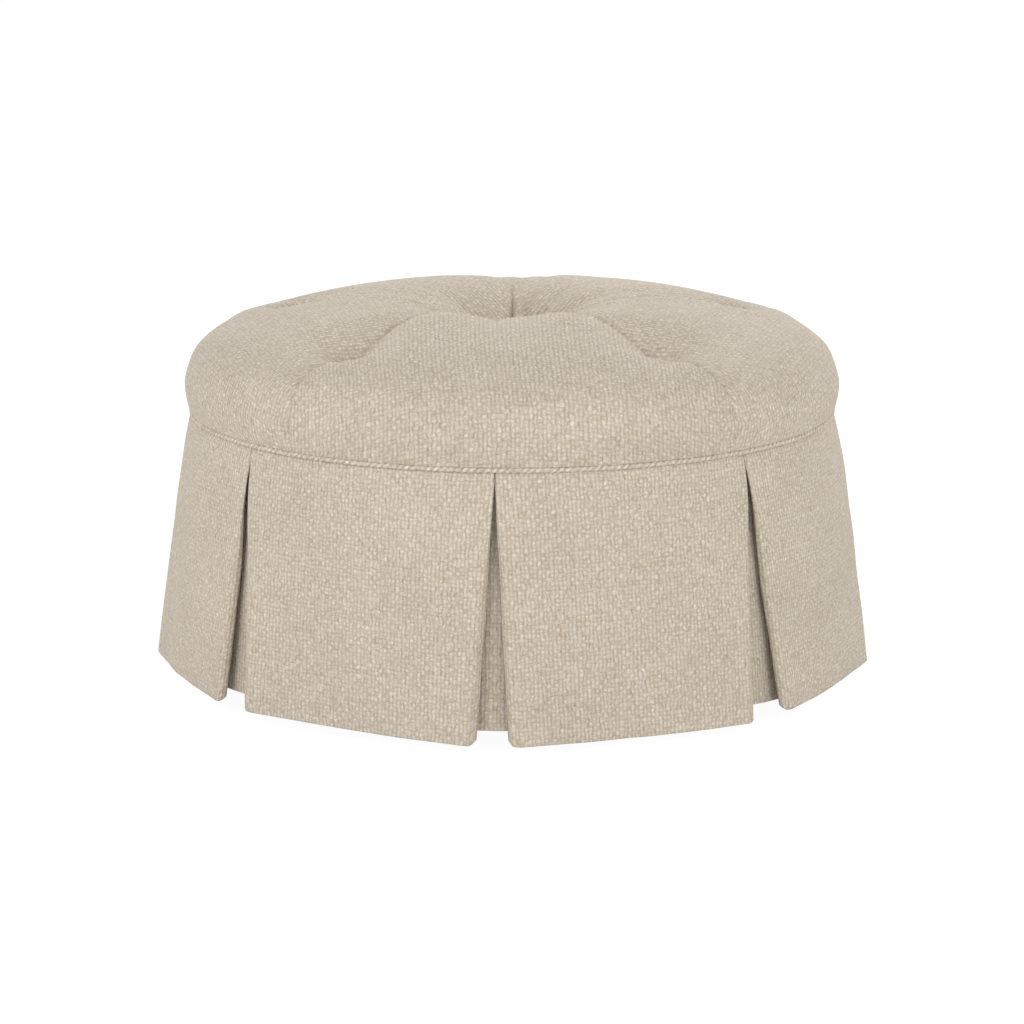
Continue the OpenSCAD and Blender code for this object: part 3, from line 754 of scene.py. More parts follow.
finer = cover.modifiers.new("Subdivision", "SUBSURF")
finer.levels = finer.render_levels = 1
applied(cover)
points, normals = vectors(cover.data.vertices, "co"), vectors(cover.data.vertex_normals, "vector")
put_points(cover.data, points + normals * crease_heights(points)[:, None])
wall = cover.modifiers.new("Cloth thickness", "SOLIDIFY")
wall.thickness = COVER_T
wall.offset = -1
applied(cover)
cover.data.materials.append(SEAT_CLOTH)
print("cushion cover:", triangles(cover), "triangles")

# %% [markdown]
# ## Fibre and foam under the cover
# A layer of polyester fibre softens the foam block. Both follow the swollen cover, a little further
# in, so that the layers keep clear of each other however the cover was drawn.

# %% Fibre wrap and foam core
FIBRE_TOP, FIBRE_UNDER, FOAM_TOP = 0.0055, 0.0155, 0.0162    # depths under the cover's face
FIBRE_FOOT, FOAM_FOOT = DECK_TOP + 0.0022, DECK_TOP + 0.0003


def squeeze(r, a):
    """How much deeper the fibre lies where the creases of the tufts press into it."""
    return 0.015 * np.exp(-r / 0.09) + 0.005 * np.exp(-stitches(r, a)[1] / 0.035)


def inner_rows(depth, foot_z):
    """The cushion's rows further in, moved as the cover moved, with their foot at foot_z."""
    pressed = squeeze(top_q[:, None] * FULL_R, angles[None, :])
    made = cushion_rows(depth + np.pad(pressed, ((0, len(side_turn)), (0, 0))))
    n = len(angles)
    for i, row in enumerate(made):
        row += (swollen - aim)[1 + i * n:1 + (i + 1) * n]
        row[:, 2] = np.maximum(row[:, 2], foot_z)
    return made


def pole_at(depth):
    return dome_point(0.0, 0.0, depth + squeeze(0.0, 0.0))


fibre = closed("fibre-wrap", pole_at(FIBRE_TOP), inner_rows(FIBRE_TOP, FIBRE_FOOT)
               + inner_rows(FIBRE_UNDER, FIBRE_FOOT)[::-1], pole_at(FIBRE_UNDER))
foam = closed("foam-block", pole_at(FOAM_TOP), inner_rows(FOAM_TOP, FOAM_FOOT),
              np.array([0.0, 0.0, FOAM_FOOT]))
print("fibre:", triangles(fibre), "triangles, foam:", triangles(foam))

# %% [markdown]
# ## The skirt
# The skirt hangs from the seam under the piping as eight panels, stiffened with an interlining.
# Where two panels meet, the cloth turns back in a round edge and a separate flap hangs behind the
# gap, which makes a kick pleat. Stiff cloth like this bends in one direction only, so each panel is
# drawn from a rule: a circle at the top that goes nearly flat towards the hem. A low wave over it
# keeps it from looking like board.

# %% The rule of one panel
ROLL_COLS = 9            # columns round each rolled edge
FACED_COLS = 12          # columns at each side that show the face cloth on the back too
PANEL_COLS = np.concatenate([-1 - np.linspace(1, 1 / ROLL_COLS, ROLL_COLS), np.linspace(-1, 1, 43),
                             1 + np.linspace(1 / ROLL_COLS, 1, ROLL_COLS)])
PANEL_ROWS = np.concatenate([np.linspace(0, 0.12, 13)[:-1], np.linspace(0.12, 0.94, 34)[:-1],
                             np.linspace(0.94, 1, 9)])
HEM_TURN = np.radians([25, 50, 70, 85])
CORNER = 0.0054          # radius of a hem's corners
FLARE = 0.007            # the skirt springs out by this just under the piping
TOP_GAP = 0.0003         # half the gap of a closed pleat
TURNED_UP = 0.035        # how much cloth is turned up behind the hem
# Width of each pleat's gap at the hem, from the front one round towards +X
PLEAT_GAPS = [0.0440, 0.0550, 0.0486, 0.0480, 0.0500, 0.0480, 0.0486, 0.0450]
# How far each pleat is turned from the even spacing, under the piping and at the hem
SHIFTS = np.radians([(0, -0.15), (0.2, 0.5), (0, 0), (0, 0), (0, 0), (0, 0), (0, 0), (-2.0, -0.1)])
# How much lower each panel's two corners hang than the plain hem, to its left and right
HANGS = [(0.0024, 0.0022), (-0.0010, 0.0075), (0.0030, 0.0000), (0.0005, -0.0010),
         (0.0000, 0.0010), (-0.0010, 0.0025), (0.0065, -0.0045), (-0.0040, 0.0018)]


def shift(k, t):
    """How far pleat k is turned at share t of the way down."""
    return SHIFTS[k][0] + (SHIFTS[k][1] - SHIFTS[k][0]) * t


def panel_points(i, depth, lift):
    """Rows and columns of panel i at a depth under its face, with lift as its low wave."""
    t, w = PANEL_ROWS[:, None], PANEL_COLS[None, :]
    to_right = (np.clip(w, -1, 1) + 1) / 2
    right_pleat = (i + 1) % PLEATS
    middle = PITCH * (i + 0.5) + (1 - to_right) * shift(i, t) + to_right * shift(right_pleat, t)
    gap = np.where(w < 0, PLEAT_GAPS[i], PLEAT_GAPS[right_pleat])
    r = SEAM_R + (HEM_R - SEAM_R - FLARE) * t + FLARE * (1 - np.exp(-t / 0.13))
    half_gap = TOP_GAP + (gap / 2 - TOP_GAP) * np.maximum(0, t - 0.04) / 0.96
    roll = TOP_ROLL + (HEM_ROLL - TOP_ROLL) * ease((t - 0.12) / 0.4)
    end = PITCH / 2 - np.arcsin(half_gap / r) - roll / r
    straight = 0.7 * t
    a = np.clip(w, -1, 1) * end
    face_r = r * (1 - straight + straight * np.cos(end) / np.cos(a))
    out = a * (1 - straight)
    left, right = HANGS[i]
    hang = left + (right - left) * to_right
    past_end = np.maximum(0, np.abs(w) - 1) * math.pi / 2
    from_edge = roll * (1 - np.sin(past_end)) + np.maximum(0, 1 - np.abs(w)) * end * r
    inside = np.clip((CORNER - from_edge) / CORNER, 0, 1)
    raised = CORNER * (1 - np.sqrt(1 - inside ** 2))
    z = SKIRT_TOP - t * (SKIRT_H - PANEL_T / 2 + hang - raised * t)
    core = round_point(face_r, middle + a, z) - round_point(roll, middle + out, 0.0)
    turn = middle + out + np.sign(w) * past_end
    return core + round_point(roll - depth + lift, turn, 0.0)


def panel_lift(i):
    """The low wave over panel i."""
    t = PANEL_ROWS[:, None]
    across = PANEL_COLS[None, :] * 0.17
    down = t * SKIRT_H
    free = ease(t / 0.25)
    broad = waves(200 + i, 0.09, 0.30)(across + 0.15 * down)
    level = waves(220 + i, 0.07, 0.25)(down + 0.05 * across)
    gather = waves(240 + i, 0.010, 0.030)(across)
    return 0.0007 * broad * free + 0.0004 * level * free + 0.00035 * gather * np.exp(-down / 0.016)


print("panel net:", len(PANEL_ROWS), "rows by", len(PANEL_COLS), "columns")

# %% Close a strip of cloth
CUT_STEP = np.array([0.613, 0.237])    # each piece is cut from another place of the cloth


def cloth_strip(name, outer, inner, places, back_slot):
    """A closed strip from its face and its back, both as rows of points. The hem is rounded."""
    n = outer.shape[1]
    m = 2 * n
    half = (outer[-1] - inner[-1]) / 2
    middle = (outer[-1] + inner[-1]) / 2
    thick = np.linalg.norm(half, axis=1).mean()
    down = np.array([0.0, 0.0, -thick])
    rings = [np.concatenate([o, b[::-1]]) for o, b in zip(outer, inner)]
    flat = [np.concatenate([p, p[::-1]]) for p in places]
    for k, turn in enumerate(HEM_TURN):
        across = half * math.cos(turn)
        drop = down * math.sin(turn)
        rings.append(np.concatenate([middle + across + drop, (middle - across + drop)[::-1]]))
        flat.append(flat[len(places) - 1] + [0, thick * (k + 1)])
    faces = quads(len(rings), m)
    slots = [back_slot(i, j - n) if n <= j < m - 1 else 0
             for i in range(len(rings) - 1) for j in range(m)]
    bottom = (len(rings) - 1) * m
    for j in range(n - 1):
        p, q = m - 1 - j, m - 2 - j
        faces += [(j, j + 1, q, p), (bottom + j, bottom + p, bottom + q, bottom + j + 1)]
        slots += [0, 0]
    return piece(name, np.vstack(rings), faces, np.vstack(flat)[np.array(faces).ravel()], slots)


def flat_places(points, rows_down, seed):
    """Flat coordinates: the way across from the middle column, and the way down."""
    step = np.linalg.norm(np.diff(points, axis=1), axis=2)
    across = np.concatenate([np.zeros((len(points), 1)), np.cumsum(step, axis=1)], axis=1)
    across -= across[:, points.shape[1] // 2][:, None]
    down = np.broadcast_to(rows_down[:, None], across.shape)
    return np.stack([across, -down], -1) + seed * CUT_STEP


def panel_back_slot(i, j):
    """0 where the back shows face cloth, at the sides and the turned-up hem, and 1 for lining."""
    edge = min(j, len(PANEL_COLS) - 1 - j) < FACED_COLS
    down = PANEL_ROWS[min(i, len(PANEL_ROWS) - 1)] * SKIRT_H
    return 0 if edge or down > SKIRT_H - TURNED_UP else 1


panels = []
for i in range(PLEATS):
    lift = panel_lift(i)
    outer, inner = panel_points(i, 0.0, lift), panel_points(i, PANEL_T, lift)
    panel = cloth_strip(f"skirt-panel-{i + 1}", outer, inner,
                        flat_places(outer, PANEL_ROWS * SKIRT_H, i + 1), panel_back_slot)
    panel.data.materials.append(SKIRT_CLOTH)
    panel.data.materials.append(LINING)
    panels.append(panel)
print("8 panels of", triangles(panels[0]), "triangles")

# %% The flaps behind the pleats
BACKING_COLS = np.linspace(-1, 1, 25)
BACKING_ROWS = np.concatenate([np.linspace(0, 0.9, 28)[:-1], np.linspace(0.9, 1, 6)])
# How much higher each flap's hem hangs than planned, and how much lower its right side is
FLAPS = [(0.0, 0.0), (0.0, 0.005), (0.0, 0.0), (0.001, 0.0), (0.0, -0.001), (0.001, 0.0),
         (0.0, 0.001), (0.0038, 0.0)]


def backing_points(i, depth, lift):
    t, w = BACKING_ROWS[:, None], BACKING_COLS[None, :]
    r = BACKING_R + (BACKING_HEM_R - BACKING_R) * np.maximum(0, t - 0.05) / 0.95
    half = np.arcsin(BACKING_W / 2 / r)
    top = SKIRT_TOP - 0.0003
    higher, tilt = FLAPS[i]
    z = top - (top - 0.012 - BACKING_LIFT - higher - BACKING_T / 2 + tilt * w) * t
    return round_point(r - depth + lift, PITCH * i + shift(i, t) + half * w, z)


backings = []
for i in range(PLEATS):
    t, w = BACKING_ROWS[:, None], BACKING_COLS[None, :]
    lift = 0.0008 * ease((t - 0.1) / 0.4) * waves(300 + i, 0.06, 0.2)(w * 0.075 + 0.05 * t)
    lift = np.minimum(lift, 0.0005)
    outer, inner = backing_points(i, 0.0, lift), backing_points(i, BACKING_T, lift)
    backing = cloth_strip(f"pleat-backing-{i + 1}", outer, inner,
                          flat_places(outer, BACKING_ROWS * BACKING_L, i + 11), lambda i, j: 0)
    backing.data.materials.append(SKIRT_CLOTH)
    backings.append(backing)
print("8 flaps of", triangles(backings[0]), "triangles")

# %% [markdown]
# ## Piping with Geometry Nodes
# Piping is a strip of the same cloth, cut on the bias and folded round a cotton cord. Pulled tight
# round a curve, the bias cloth makes small slanted ridges. It follows a path by a rule, so Geometry
# Nodes suit it: an arc, a round profile, and a wave that moves the surface in and out. The flat
# coordinates are stored before the two ends are joined, so the weave has no smear at the joint.


# %% A tree that makes piping
class Geo(Net):
    """The same short way, for geometry trees."""

    def __init__(self, name, inputs):
        super().__init__(bpy.data.node_groups.new(name, "GeometryNodeTree"))
        whole = [("Geometry", "geometry")]
        self.sockets = add_sockets(self.tree, "INPUT", whole + inputs)
        add_sockets(self.tree, "OUTPUT", whole)
        self.given = self.node("NodeGroupInput").outputs
        self.out = self.node("NodeGroupOutput")

    def finish(self, geometry, cloth):
        real = self.step("GeometryNodeRealizeInstances", {0: geometry})
        self.fill(self.out, {0: self.step("GeometryNodeSetMaterial", {0: real, "Material": cloth})})


def grown(obj, geo, **values):
    """Runs a geometry tree on an object, and keeps the result as its plain mesh."""
    made = obj.modifiers.new("Tree", "NODES")
    made.node_group = geo.tree
    for label, value in values.items():
        made[geo.sockets[label.replace("_", " ")]] = value
    obj.update_tag()
    return applied(obj)


geo = Geo("piping", [("Ring radius", "value", 0.407), ("Thickness", "value", 0.007),
                     ("Height", "value", 0.3278), ("Points", "count", 2365),
                     ("Ridges", "count", RIDGES), ("Ridge depth", "value", 0.0003),
                     ("Slant", "value", 2.0), ("Cloth", "material")])
given = geo.given


def arc(output, **how):
    """A closed arc, and a value of each of its points that can be read after it is a mesh."""
    made = geo.node("GeometryNodeCaptureAttribute")
    made.capture_items.new("FLOAT", "Kept")
    curve = geo.step("GeometryNodeCurveArc", {"Sweep Angle": math.tau, **how})
    value = geo.node("GeometryNodeSplineParameter").outputs[output]
    geo.fill(made, {0: curve, 1: value})
    return made.outputs[0], made.outputs[1]


path, along = arc("Length", **{"Resolution": given["Points"], "Radius": given["Ring radius"],
                               "Start Angle": math.radians(110)})
ring, around = arc("Factor", **{"Resolution": 19, "Radius": geo.over(given["Thickness"], 2.0),
                                "Start Angle": math.pi})
tube = geo.step("GeometryNodeCurveToMesh", {0: path, 1: ring})
girth = geo.times(given["Thickness"], math.pi)
tube = geo.step("GeometryNodeStoreNamedAttribute",
                {0: tube, "Name": "UVMap", "Value": geo.join(along, geo.times(around, girth), 0.0)},
                data_type="FLOAT2", domain="CORNER")
tube = geo.step("GeometryNodeMergeByDistance", {0: tube, "Distance": 0.00005})
ring_length = geo.times(given["Ring radius"], math.tau)
phase = geo.plus(geo.over(geo.times(along, given["Ridges"]), ring_length),
                 geo.times(around, given["Slant"]))
ridge = geo.times(geo.math("SINE", geo.times(phase, math.tau)), given["Ridge depth"])
offset = geo.step("ShaderNodeVectorMath",
                  {0: geo.node("GeometryNodeInputNormal").outputs[0], "Scale": ridge},
                  operation="SCALE")
tube = geo.step("GeometryNodeSetPosition", {0: tube, "Offset": offset})
tube = geo.step("GeometryNodeTransform",
                {0: tube, "Translation": geo.join(0.0, 0.0, given["Height"])})
geo.finish(geo.step("GeometryNodeSetShadeSmooth", {0: tube}), given["Cloth"])
piping = grown(piece("piping", [], []), geo, Ring_radius=PIPING_R, Thickness=PIPING_D,
               Height=PIPING_Z, Cloth=PIPING_CLOTH)
print("piping:", triangles(piping), "triangles, layers", [u.name for u in piping.data.uv_layers])


# %% The piping's flange
def turned(name, profile, steps):
    """A closed ring through the corners of a profile, given as radius and height."""
    a = np.arange(steps) * math.tau / steps
    points = np.concatenate([round_point(r, a, z) for r, z in profile])
    faces, uv = [], []
    for i, (r, low) in enumerate(profile):
        k = (i + 1) % len(profile)
        high = profile[k][1]
        for j in range(steps):
            m = (j + 1) % steps
            faces.append((i * steps + j, k * steps + j, k * steps + m, i * steps + m))
            u0, u1 = j * math.tau * r / steps, (j + 1) * math.tau * r / steps
            uv += [(u0, low), (u0, high), (u1, high), (u1, low)]
    return piece(name, points, faces, uv)


flange = turned("piping-flange", [(0.4012, 0.3273), (0.4012, FIXING_Z + 0.0002),
                                  (0.4003, FIXING_Z + 0.0002), (0.4003, 0.3283),
                                  (0.4030, 0.3283), (0.4030, 0.3273)], 256)
flange.data.materials.append(PIPING_CLOTH)
print("flange:", triangles(flange), "triangles")

# %% [markdown]
# ## Hem stitches
# The turned-up hem is held by small slanted stitches on its back. They repeat along a line, so a
# tree puts one short, slanted thread at the edge of the turned-up cloth, at every step of it.

# %% A tree that sews along lines
COTTON_THREAD, net, shader = material("cotton thread", Roughness=0.8)
bumped(net, shader, srgb(222, 214, 200), net.noise(net.object_place(), 900.0, 1.0), 0.0001)

sew = Geo("hem stitches", [("Spacing", "value", 0.009), ("Stitch length", "value", 0.007),
                           ("Thread width", "value", 0.0006), ("Slant", "value", 0.6),
                           ("Thread", "material")])
given = sew.given
line = sew.step("GeometryNodeMeshToCurve", {0: given["Geometry"]})
spots = sew.step("GeometryNodeResampleCurve", {0: line, "Length": given["Spacing"]}, mode="LENGTH")
stitch = sew.step("GeometryNodeMeshCylinder", {"Vertices": 6, "Side Segments": 3,
                                               "Radius": sew.over(given["Thread width"], 2.0),
                                               "Depth": given["Stitch length"]})
turn = sew.step("FunctionNodeAlignRotationToVector",
                {"Vector": sew.node("GeometryNodeInputTangent").outputs[0]}, axis="Z")
slant = sew.step("FunctionNodeEulerToRotation", {0: sew.join(given["Slant"], 0.0, 0.0)})
tilt = sew.step("FunctionNodeRotateRotation", {0: turn, 1: slant}, rotation_space="LOCAL")
sewn = sew.step("GeometryNodeInstanceOnPoints",
                {"Points": spots, "Instance": stitch, "Rotation": tilt})
sew.finish(sewn, given["Thread"])


def hem_lines():
    """Lines just behind the upper edge of each panel's turned-up hem."""
    points, edges = [], []
    row = int(np.argmin(np.abs(PANEL_ROWS * SKIRT_H - (SKIRT_H - TURNED_UP))))
    for i in range(PLEATS):
        back = panel_points(i, PANEL_T + 0.0002, panel_lift(i))[row][FACED_COLS:-FACED_COLS]
        edges += [(len(points) + j, len(points) + j + 1) for j in range(len(back) - 1)]
        points += list(back)
    return points, edges


points, edges = hem_lines()
stitches_made = piece("hem-stitches", points, [], edges=edges)
grown(stitches_made, sew, Thread=COTTON_THREAD)
print("hem stitches:", triangles(stitches_made), "triangles")

# %% [markdown]
# ## The dust cover
# A black non-woven cloth closes the frame from below. It is stapled tight round its edge, so it
# hangs a few millimetres lower in the middle and ripples a little between the staples.

# %% The dust cover as a sagging sheet
DUST_LOW, DUST_HIGH = 0.0990, 0.0998    # heights of its two faces at the edge
SAG = 0.0045
STAPLES = 24
a = np.arange(192) * math.tau / 192
tight = waves(400, 0.3, 0.9)(a * 3)


def dust_rings(z):
    """One face, from the middle to the edge."""
    made = []
    for r in np.concatenate([np.linspace(0.02, 0.32, 16), np.linspace(0.33, DUST_R, 12)]):
        ripple = 0.0007 * tight * bump_at(r - 0.30, 0.035)
        ripple += 0.0003 * np.cos(STAPLES * a) * bump_at(r - 0.31, 0.02)
        down = SAG * ease((0.328 - r) / 0.30) + np.abs(ripple) * (r < 0.326)
        made.append(round_point(r, a, z - down))
    return made


dust = closed("dust-sheet", np.array([0, 0, DUST_HIGH - SAG]),
              dust_rings(DUST_HIGH) + dust_rings(DUST_LOW)[::-1], np.array([0, 0, DUST_LOW - SAG]))
print("dust cover:", triangles(dust), "triangles")

# %% [markdown]
# ## Finishes of the hard parts
# Wood has long fibres, so its patterns are stretched along the grain: along the rim in the plywood,
# and upwards in posts and legs. All of these read Object coordinates, because each part's place is
# in its mesh.


# %% A wood grain group
def make_grain():
    net, given, out = group(
        "wood grain",
        [("Place", "vector"), ("Ring width", "value", 0.004), ("Pale wood", "colour"),
         ("Dark wood", "colour"), ("Pores", "value", 0.3)],
        [("Color", "colour"), ("Height", "value")])
    place = given["Place"]
    wander = net.noise(place, 14.0, 2.0)
    x, y, z = net.xyz(place)
    x = net.plus(x, net.times(net.minus(wander, 0.5), 0.02))
    away = net.math("SQRT", net.plus(net.times(x, x), net.times(y, y)))
    rings = net.math("FRACT", net.over(away, given["Ring width"]))
    late = net.math("POWER", rings, 2.5)
    fibres = net.noise(net.join(net.times(x, 900.0), net.times(y, 900.0), net.times(z, 22.0)), 1.0)
    pores = net.range(fibres, 0.56, 0.72)
    share = net.plus(net.times(late, 0.65), net.times(fibres, 0.35))
    colour = net.mix(share, given["Pale wood"], given["Dark wood"])
    dark = net.minus(1.0, net.times(pores, given["Pores"]))
    net.fill(out, {"Color": net.shade(colour, dark),
                   "Height": net.minus(fibres, net.times(late, 0.3))})
    return net.tree


def make_wear():
    """Marks rubbed spots and settled dust on hard parts."""
    net, given, out = group(
        "rubs and dust", [("Place", "vector"), ("Rub size", "value", 40.0)],
        [("Rubbed", "value"), ("Dust", "value")])
    scaled = net.step("ShaderNodeVectorMath", {0: given["Place"], "Scale": given["Rub size"]},
                      operation="SCALE")
    net.fill(out, {"Rubbed": net.range(net.noise(scaled, 1.0, 4.0, 0.7), 0.56, 0.7),
                   "Dust": net.range(net.noise(scaled, 0.35, 3.0), 0.45, 0.75)})
    return net.tree


grain, wear = make_grain(), make_wear()
print("groups:", weave.name, grain.name, wear.name)


# %% Wood, card, plastic and steel
def wooden(name, pale, dark, rings, rough=0.6, coat=0.0, pores=0.3):
    made, net, shader = material(name, Coat_Weight=coat, Coat_Roughness=0.25)
    place = net.mapped(net.object_place(), Location=(0.31, 0.17, 0))
    cut = place_in(net, grain, {"Place": place, "Ring width": rings, "Pale wood": pale,
                                "Dark wood": dark, "Pores": pores})
    rubbed = place_in(net, wear, {"Place": place})["Rubbed"]
    net.feed(shader.inputs["Roughness"], net.range(rubbed, 0.0, 1.0, rough, rough + 0.15))
    colour = net.mix(net.times(rubbed, 0.25), cut["Color"], pale)
    bumped(net, shader, colour, cut["Height"], 0.0003)
    return made


def plied(name, ply=0.0015):
    """Plywood: broad grain on its faces, and thin layers of turned grain on its edges."""
    made, net, shader = material(name, Roughness=0.7)
    place = net.object_place()
    face = place_in(net, grain, {"Place": net.mapped(place, Rotation=(math.radians(90), 0, 0)),
                                 "Ring width": 0.011, "Pale wood": srgb(219, 196, 156),
                                 "Dark wood": srgb(196, 166, 121), "Pores": 0.2})
    z = net.xyz(place)[2]
    crossed = net.more(net.math("FRACT", net.over(z, 2 * ply)), 0.5)
    from_middle = net.absolute(net.minus(net.math("FRACT", net.over(z, ply)), 0.5))
    edge = net.mix(crossed, srgb(214, 188, 145), srgb(170, 134, 92))
    edge = net.mix(net.more(from_middle, 0.44), edge, srgb(110, 78, 50))
    edge = net.mix(net.times(net.noise(place, 500.0), 0.3), edge, srgb(232, 212, 176))
    up = net.xyz(net.node("ShaderNodeNewGeometry").outputs["True Normal"])[2]
    colour = net.mix(net.more(net.absolute(up), 0.7), edge, face["Color"])
    bumped(net, shader, colour, face["Height"], 0.0003)
    return made


def speckled(name, base, spots, size, rough, relief, metal=0.0):
    made, net, shader = material(name, Metallic=metal)
    place = net.object_place()
    fine = net.noise(place, size, 3.0, 0.6)
    rubs = place_in(net, wear, {"Place": place})
    net.feed(shader.inputs["Roughness"], net.range(rubs["Rubbed"], 0.0, 1.0, rough, rough + 0.12))
    colour = net.mix(net.range(fine, 0.35, 0.7, 0.0, 0.5), base, spots)
    colour = net.mix(net.times(rubs["Dust"], 0.18), colour, srgb(150, 143, 132))
    bumped(net, shader, colour, fine, relief)
    return made


def pressed_cloth(name):
    """Black fleece with the fine pressed dots that bond its fibres."""
    made, net, shader = material(name, Roughness=0.9)
    place = net.mapped(net.object_place(), Scale=(420, 420, 420))
    dots = net.step("ShaderNodeTexVoronoi", {"Vector": place, "Scale": 1.0, "Randomness": 0.15},
                    feature="F1")
    pressed = net.range(dots, 0.2, 0.45)
    fleece = net.noise(place, 2.6, 4.0, 0.7)
    colour = net.mix(net.times(pressed, fleece), srgb(22, 22, 23), srgb(58, 57, 56))
    dust = place_in(net, wear, {"Place": net.object_place()})["Dust"]
    colour = net.mix(net.times(dust, 0.15), colour, srgb(120, 114, 106))
    bumped(net, shader, colour, pressed, 0.0003)
    return made


FINISH = {
    "plywood": plied("birch plywood"),
    "pine": wooden("planed pine", srgb(232, 207, 160), srgb(202, 162, 108), 0.0045),
    "leg_wood": wooden("dark stained legs", srgb(92, 62, 42), srgb(48, 30, 21), 0.003, rough=0.4,
                       coat=0.25, pores=0.5),
    "card": speckled("grey card", srgb(160, 141, 114), srgb(186, 168, 142), 700.0, 0.85, 0.0002),
    "cotton": speckled("cotton cord", srgb(226, 219, 204), srgb(200, 190, 170), 1200.0, 0.9,
                       0.0003),
    "black_plastic": speckled("black plastic", srgb(26, 26, 27), srgb(40, 40, 41), 900.0, 0.45,
                              0.0001),
    "steel": speckled("zinc plated steel", srgb(176, 178, 180), srgb(142, 144, 148), 420.0, 0.35,
                      0.0001, metal=1.0),
    "fibre": speckled("polyester fibre", srgb(244, 244, 240), srgb(226, 227, 224), 260.0, 0.95,
                      0.0015),
    "foam": speckled("seat foam", srgb(240, 224, 168), srgb(222, 200, 140), 1400.0, 0.9, 0.0006),
    "dust_cloth": pressed_cloth("pressed black fleece"),
}
for obj, finish in ((fibre, "fibre"), (foam, "foam"), (dust, "dust_cloth")):
    obj.data.materials.append(FINISH[finish])
print("finishes:", ", ".join(FINISH))

# %% Finish the construction model's parts
SLOT_OF = [("seat_deck", "plywood"), ("upper_ring", "plywood"), ("lower_ring", "plywood"),
           ("frame_post", "pine"), ("leg_block", "pine"), ("leg_glide", "black_plastic"),
           ("leg_", "leg_wood"), ("tuft_twines", "cotton"), ("piping_cord", "cotton"),
           ("tuft_anchors", "black_plastic"), ("tack_strip", "card"), ("frame_band", "card"),
           ("", "steel")]
for name, node in frame["nodes"].items():
    found = next(slot for start, slot in SLOT_OF if name.startswith(start))
    node.data.materials.clear()
    node.data.materials.append(FINISH[found])
print("finished", len(frame["nodes"]), "parts of the construction model")

# %% [markdown]
# ## Who stands for whom
# Every cloth piece takes the place of one part of the construction model, which then isn't shown.
# The flange and the stitches are extra. Everything rides on the ottoman's one body.

# %% Tie the pieces to the construction model
BODY = next(iter(frame["bodies"]))


def stands_for(obj, slot, *nodes):
    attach(obj, BODY)
    if nodes:
        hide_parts(*nodes)


stands_for(cover, "seat_cloth", "seat_cover")
stands_for(fibre, "fibre", "fibre_wrap")
stands_for(foam, "foam", "foam_core")
stands_for(piping, "piping_cloth", "piping_cover")
stands_for(flange, "piping_cloth")
stands_for(stitches_made, "cotton")
stands_for(dust, "dust_cloth", "dust_cover")
for i in range(PLEATS):
    stands_for(panels[i], "skirt_cloth", f"skirt_panel_{i + 1}")
    stands_for(backings[i], "skirt_cloth", f"pleat_backing_{i + 1}")


def half_area(obj):
    return sum(p.area for p in obj.data.polygons) / 2


print("panel", round(half_area(panels[0]), 4), "m2, flap", round(half_area(backings[0]), 4), "m2")

# %% [markdown]
# ## Floor, light and camera
# The photograph has a plain white ground and soft light from all round. The floor looks white to
# the camera without sending more light up: part of what the camera sees of it is its own glow, and
# the rest takes the object's shadow. A lamp behind draws the top's edge, and two in front, of which
# the left one is a little stronger, fill the pleats.

# %% Floor and world
FLOOR_GLOW = 0.96
HORIZON, OVERHEAD = 1.48, 0.46    # the light comes more from around than from overhead


def shown_as(net, real, seen, output):
    """What the camera sees, directly, in gloss or through glass, is seen. The rest is real."""
    rays = net.node("ShaderNodeLightPath").outputs
    looked_at = net.math("MAXIMUM", rays["Is Camera Ray"],
                         net.math("MAXIMUM", rays["Is Glossy Ray"], rays["Is Transmission Ray"]))
    mixed = net.step("ShaderNodeMixShader", {0: looked_at, 1: real, 2: seen})
    net.feed(net.tree.nodes[output].inputs["Surface"], mixed)


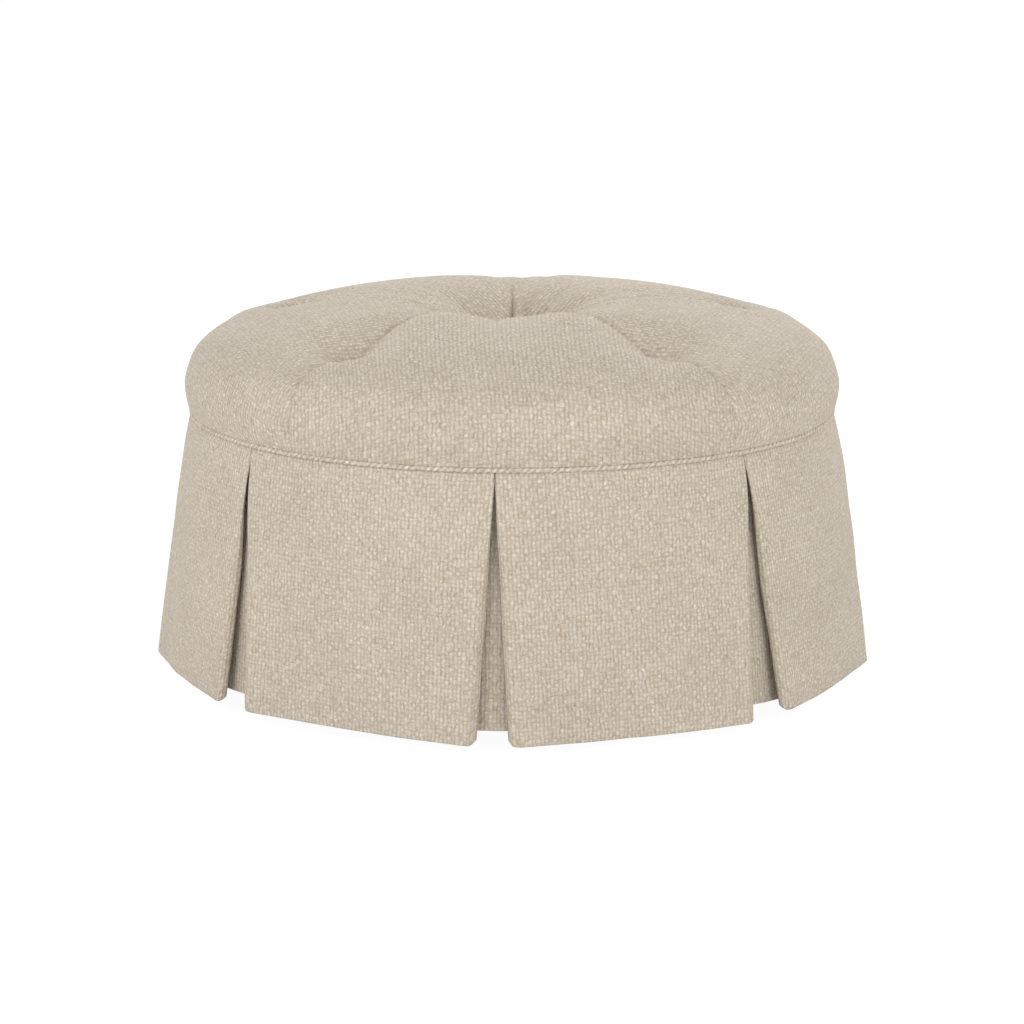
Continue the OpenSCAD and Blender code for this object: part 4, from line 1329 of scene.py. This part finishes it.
bpy.ops.mesh.primitive_plane_add(size=60)
floor = bpy.context.object
floor.name = "floor"
made, net, shader = material("studio floor", Base_Color=(0.8, 0.8, 0.8, 1), Roughness=0.9,
                             Specular_IOR_Level=0.0)
both = net.step("ShaderNodeAddShader",
                {0: net.step("ShaderNodeBsdfDiffuse", {"Color": (0.10, 0.10, 0.10, 1)}),
                 1: net.step("ShaderNodeEmission", {"Strength": FLOOR_GLOW})})
shown_as(net, shader.outputs[0], both, "Material Output")
floor.data.materials.append(made)

world = bpy.data.worlds.new("soft studio")
bpy.context.scene.world = world
world.use_nodes = True
net = Net(world.node_tree)
sky = world.node_tree.nodes["Background"]
up = net.xyz(net.node("ShaderNodeTexCoord").outputs["Generated"])[2]
net.fill(sky, {"Color": (0.98, 0.99, 1.0, 1),
               "Strength": net.range(up, 0.0, 0.8, HORIZON, OVERHEAD)})
white = net.step("ShaderNodeBackground", {"Color": (1, 1, 1, 1), "Strength": 1.0})
shown_as(net, sky.outputs[0], white, "World Output")
print("world light:", HORIZON, "at the horizon,", OVERHEAD, "overhead")

# %% Lamps
LAMPS = [("key", (-2.6, -3.4, 2.2), 2.4, 40), ("fill", (3.0, -3.2, 1.7), 2.8, 26),
         ("back", (0.6, 3.4, 2.2), 2.4, 62)]
for name, place, size, watts in LAMPS:
    data = bpy.data.lights.new(name, "AREA")
    data.shape = "DISK"
    data.size = size
    data.energy = watts
    lamp = linked(name, data)
    lamp.location = place
    lamp.rotation_euler = (Vector((0, 0, 0.25)) - Vector(place)).to_track_quat("-Z", "Y").to_euler()
print("lamps:", [(name, watts) for name, _, _, watts in LAMPS])

# %% Camera
LENS = 113.7             # mm, on a sensor 36 mm wide
FAR = 4.0608             # from the middle axis
EYE_H = 1.1035
LOOK_DOWN = math.radians(12.72)
TURN = math.radians(2.77)
camera_data = bpy.data.cameras.new("camera")
camera_data.lens = LENS
camera_data.sensor_width = 36
camera = linked("camera", camera_data)
camera.location = (FAR * math.sin(TURN), -FAR * math.cos(TURN), EYE_H)
camera.rotation_euler = (math.pi / 2 - LOOK_DOWN, 0, TURN)
bpy.context.scene.camera = camera
bpy.context.scene.view_settings.view_transform = "Standard"
print("camera at", [round(x, 3) for x in camera.location])
